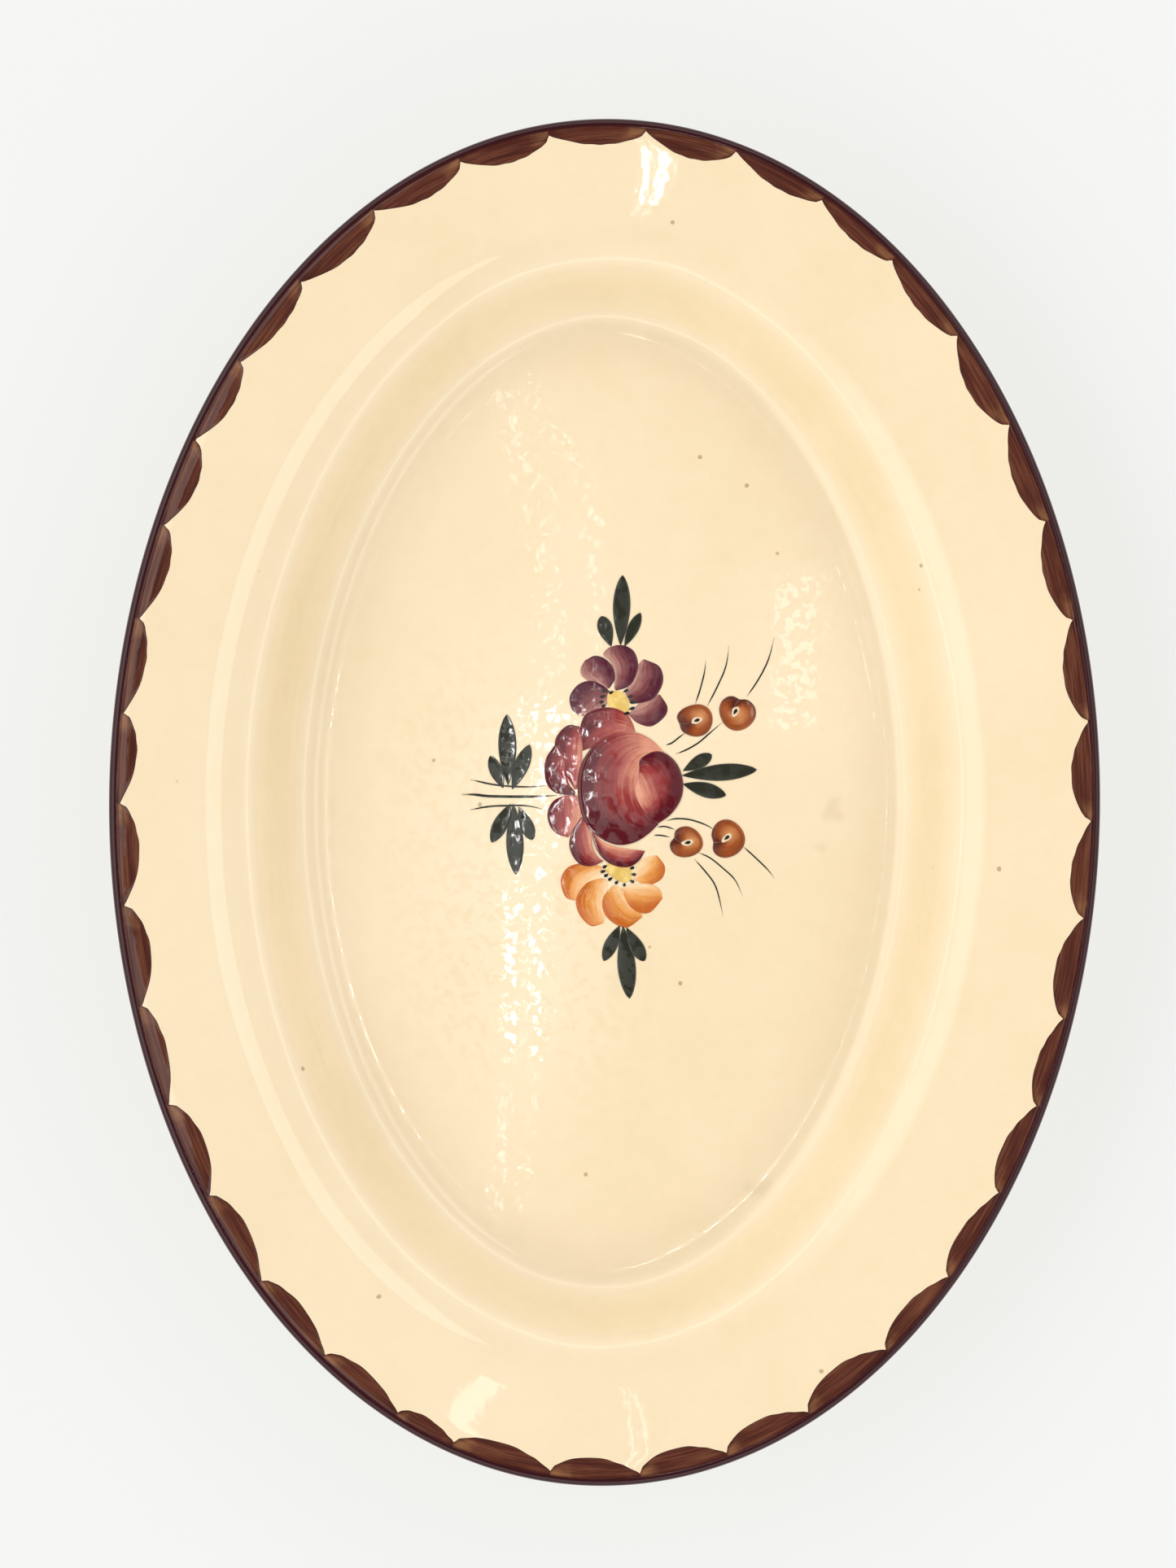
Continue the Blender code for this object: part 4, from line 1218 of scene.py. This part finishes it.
class PLATTER_OT_leaves(bpy.types.Operator):
    """Paint the five sprigs of leaves"""

    bl_idname = "platter.leaves"
    bl_label = "Leaves"

    def execute(self, context):
        build_leaves(context.scene.platter)
        return {"FINISHED"}


class PLATTER_OT_berries(bpy.types.Operator):
    """Paint the four berries"""

    bl_idname = "platter.berries"
    bl_label = "Berries"

    def execute(self, context):
        build_berries(context.scene.platter)
        return {"FINISHED"}


class PLATTER_OT_lines(bpy.types.Operator):
    """Paint the stalks and whiskers"""

    bl_idname = "platter.lines"
    bl_label = "Stalks and whiskers"

    def execute(self, context):
        build_lines(context.scene.platter)
        return {"FINISHED"}


class PLATTER_OT_stage(bpy.types.Operator):
    """Set up the floor, the lamps and the camera"""

    bl_idname = "platter.stage"
    bl_label = "Stage"

    def execute(self, context):
        build_stage(context.scene.platter)
        return {"FINISHED"}


OPERATORS = (
    PLATTER_OT_dish,
    PLATTER_OT_foot,
    PLATTER_OT_edge,
    PLATTER_OT_flowers,
    PLATTER_OT_leaves,
    PLATTER_OT_berries,
    PLATTER_OT_lines,
    PLATTER_OT_stage,
)


class PLATTER_PT_sidebar(bpy.types.Panel):
    """The platter's tab in the sidebar"""

    bl_idname = "PLATTER_PT_sidebar"
    bl_label = "Painted oval platter"
    bl_space_type = "VIEW_3D"
    bl_region_type = "UI"
    bl_category = "Platter"

    def draw(self, context):
        for operator in OPERATORS:
            self.layout.operator(operator.bl_idname)
        for group in ("dish", "edge", "motif", "stage"):
            settings = getattr(context.scene.platter, group)
            box = self.layout.box()
            for name in type(settings).__annotations__:
                box.prop(settings, name)


CLASSES = (
    DishSettings, EdgeSettings, MotifSettings, StageSettings, PlatterSettings, *OPERATORS, PLATTER_PT_sidebar,
)


def register():
    for cls in CLASSES:
        bpy.utils.register_class(cls)
    bpy.types.Scene.platter = bpy.props.PointerProperty(
        type=PlatterSettings, name="Platter", description="The platter's settings"
    )


def unregister():
    del bpy.types.Scene.platter
    for cls in reversed(CLASSES):
        bpy.utils.unregister_class(cls)


def main():
    register()
    for operator in OPERATORS:
        group, name = operator.bl_idname.split(".")
        getattr(getattr(bpy.ops, group), name)()


if __name__ == "__main__":
    main()
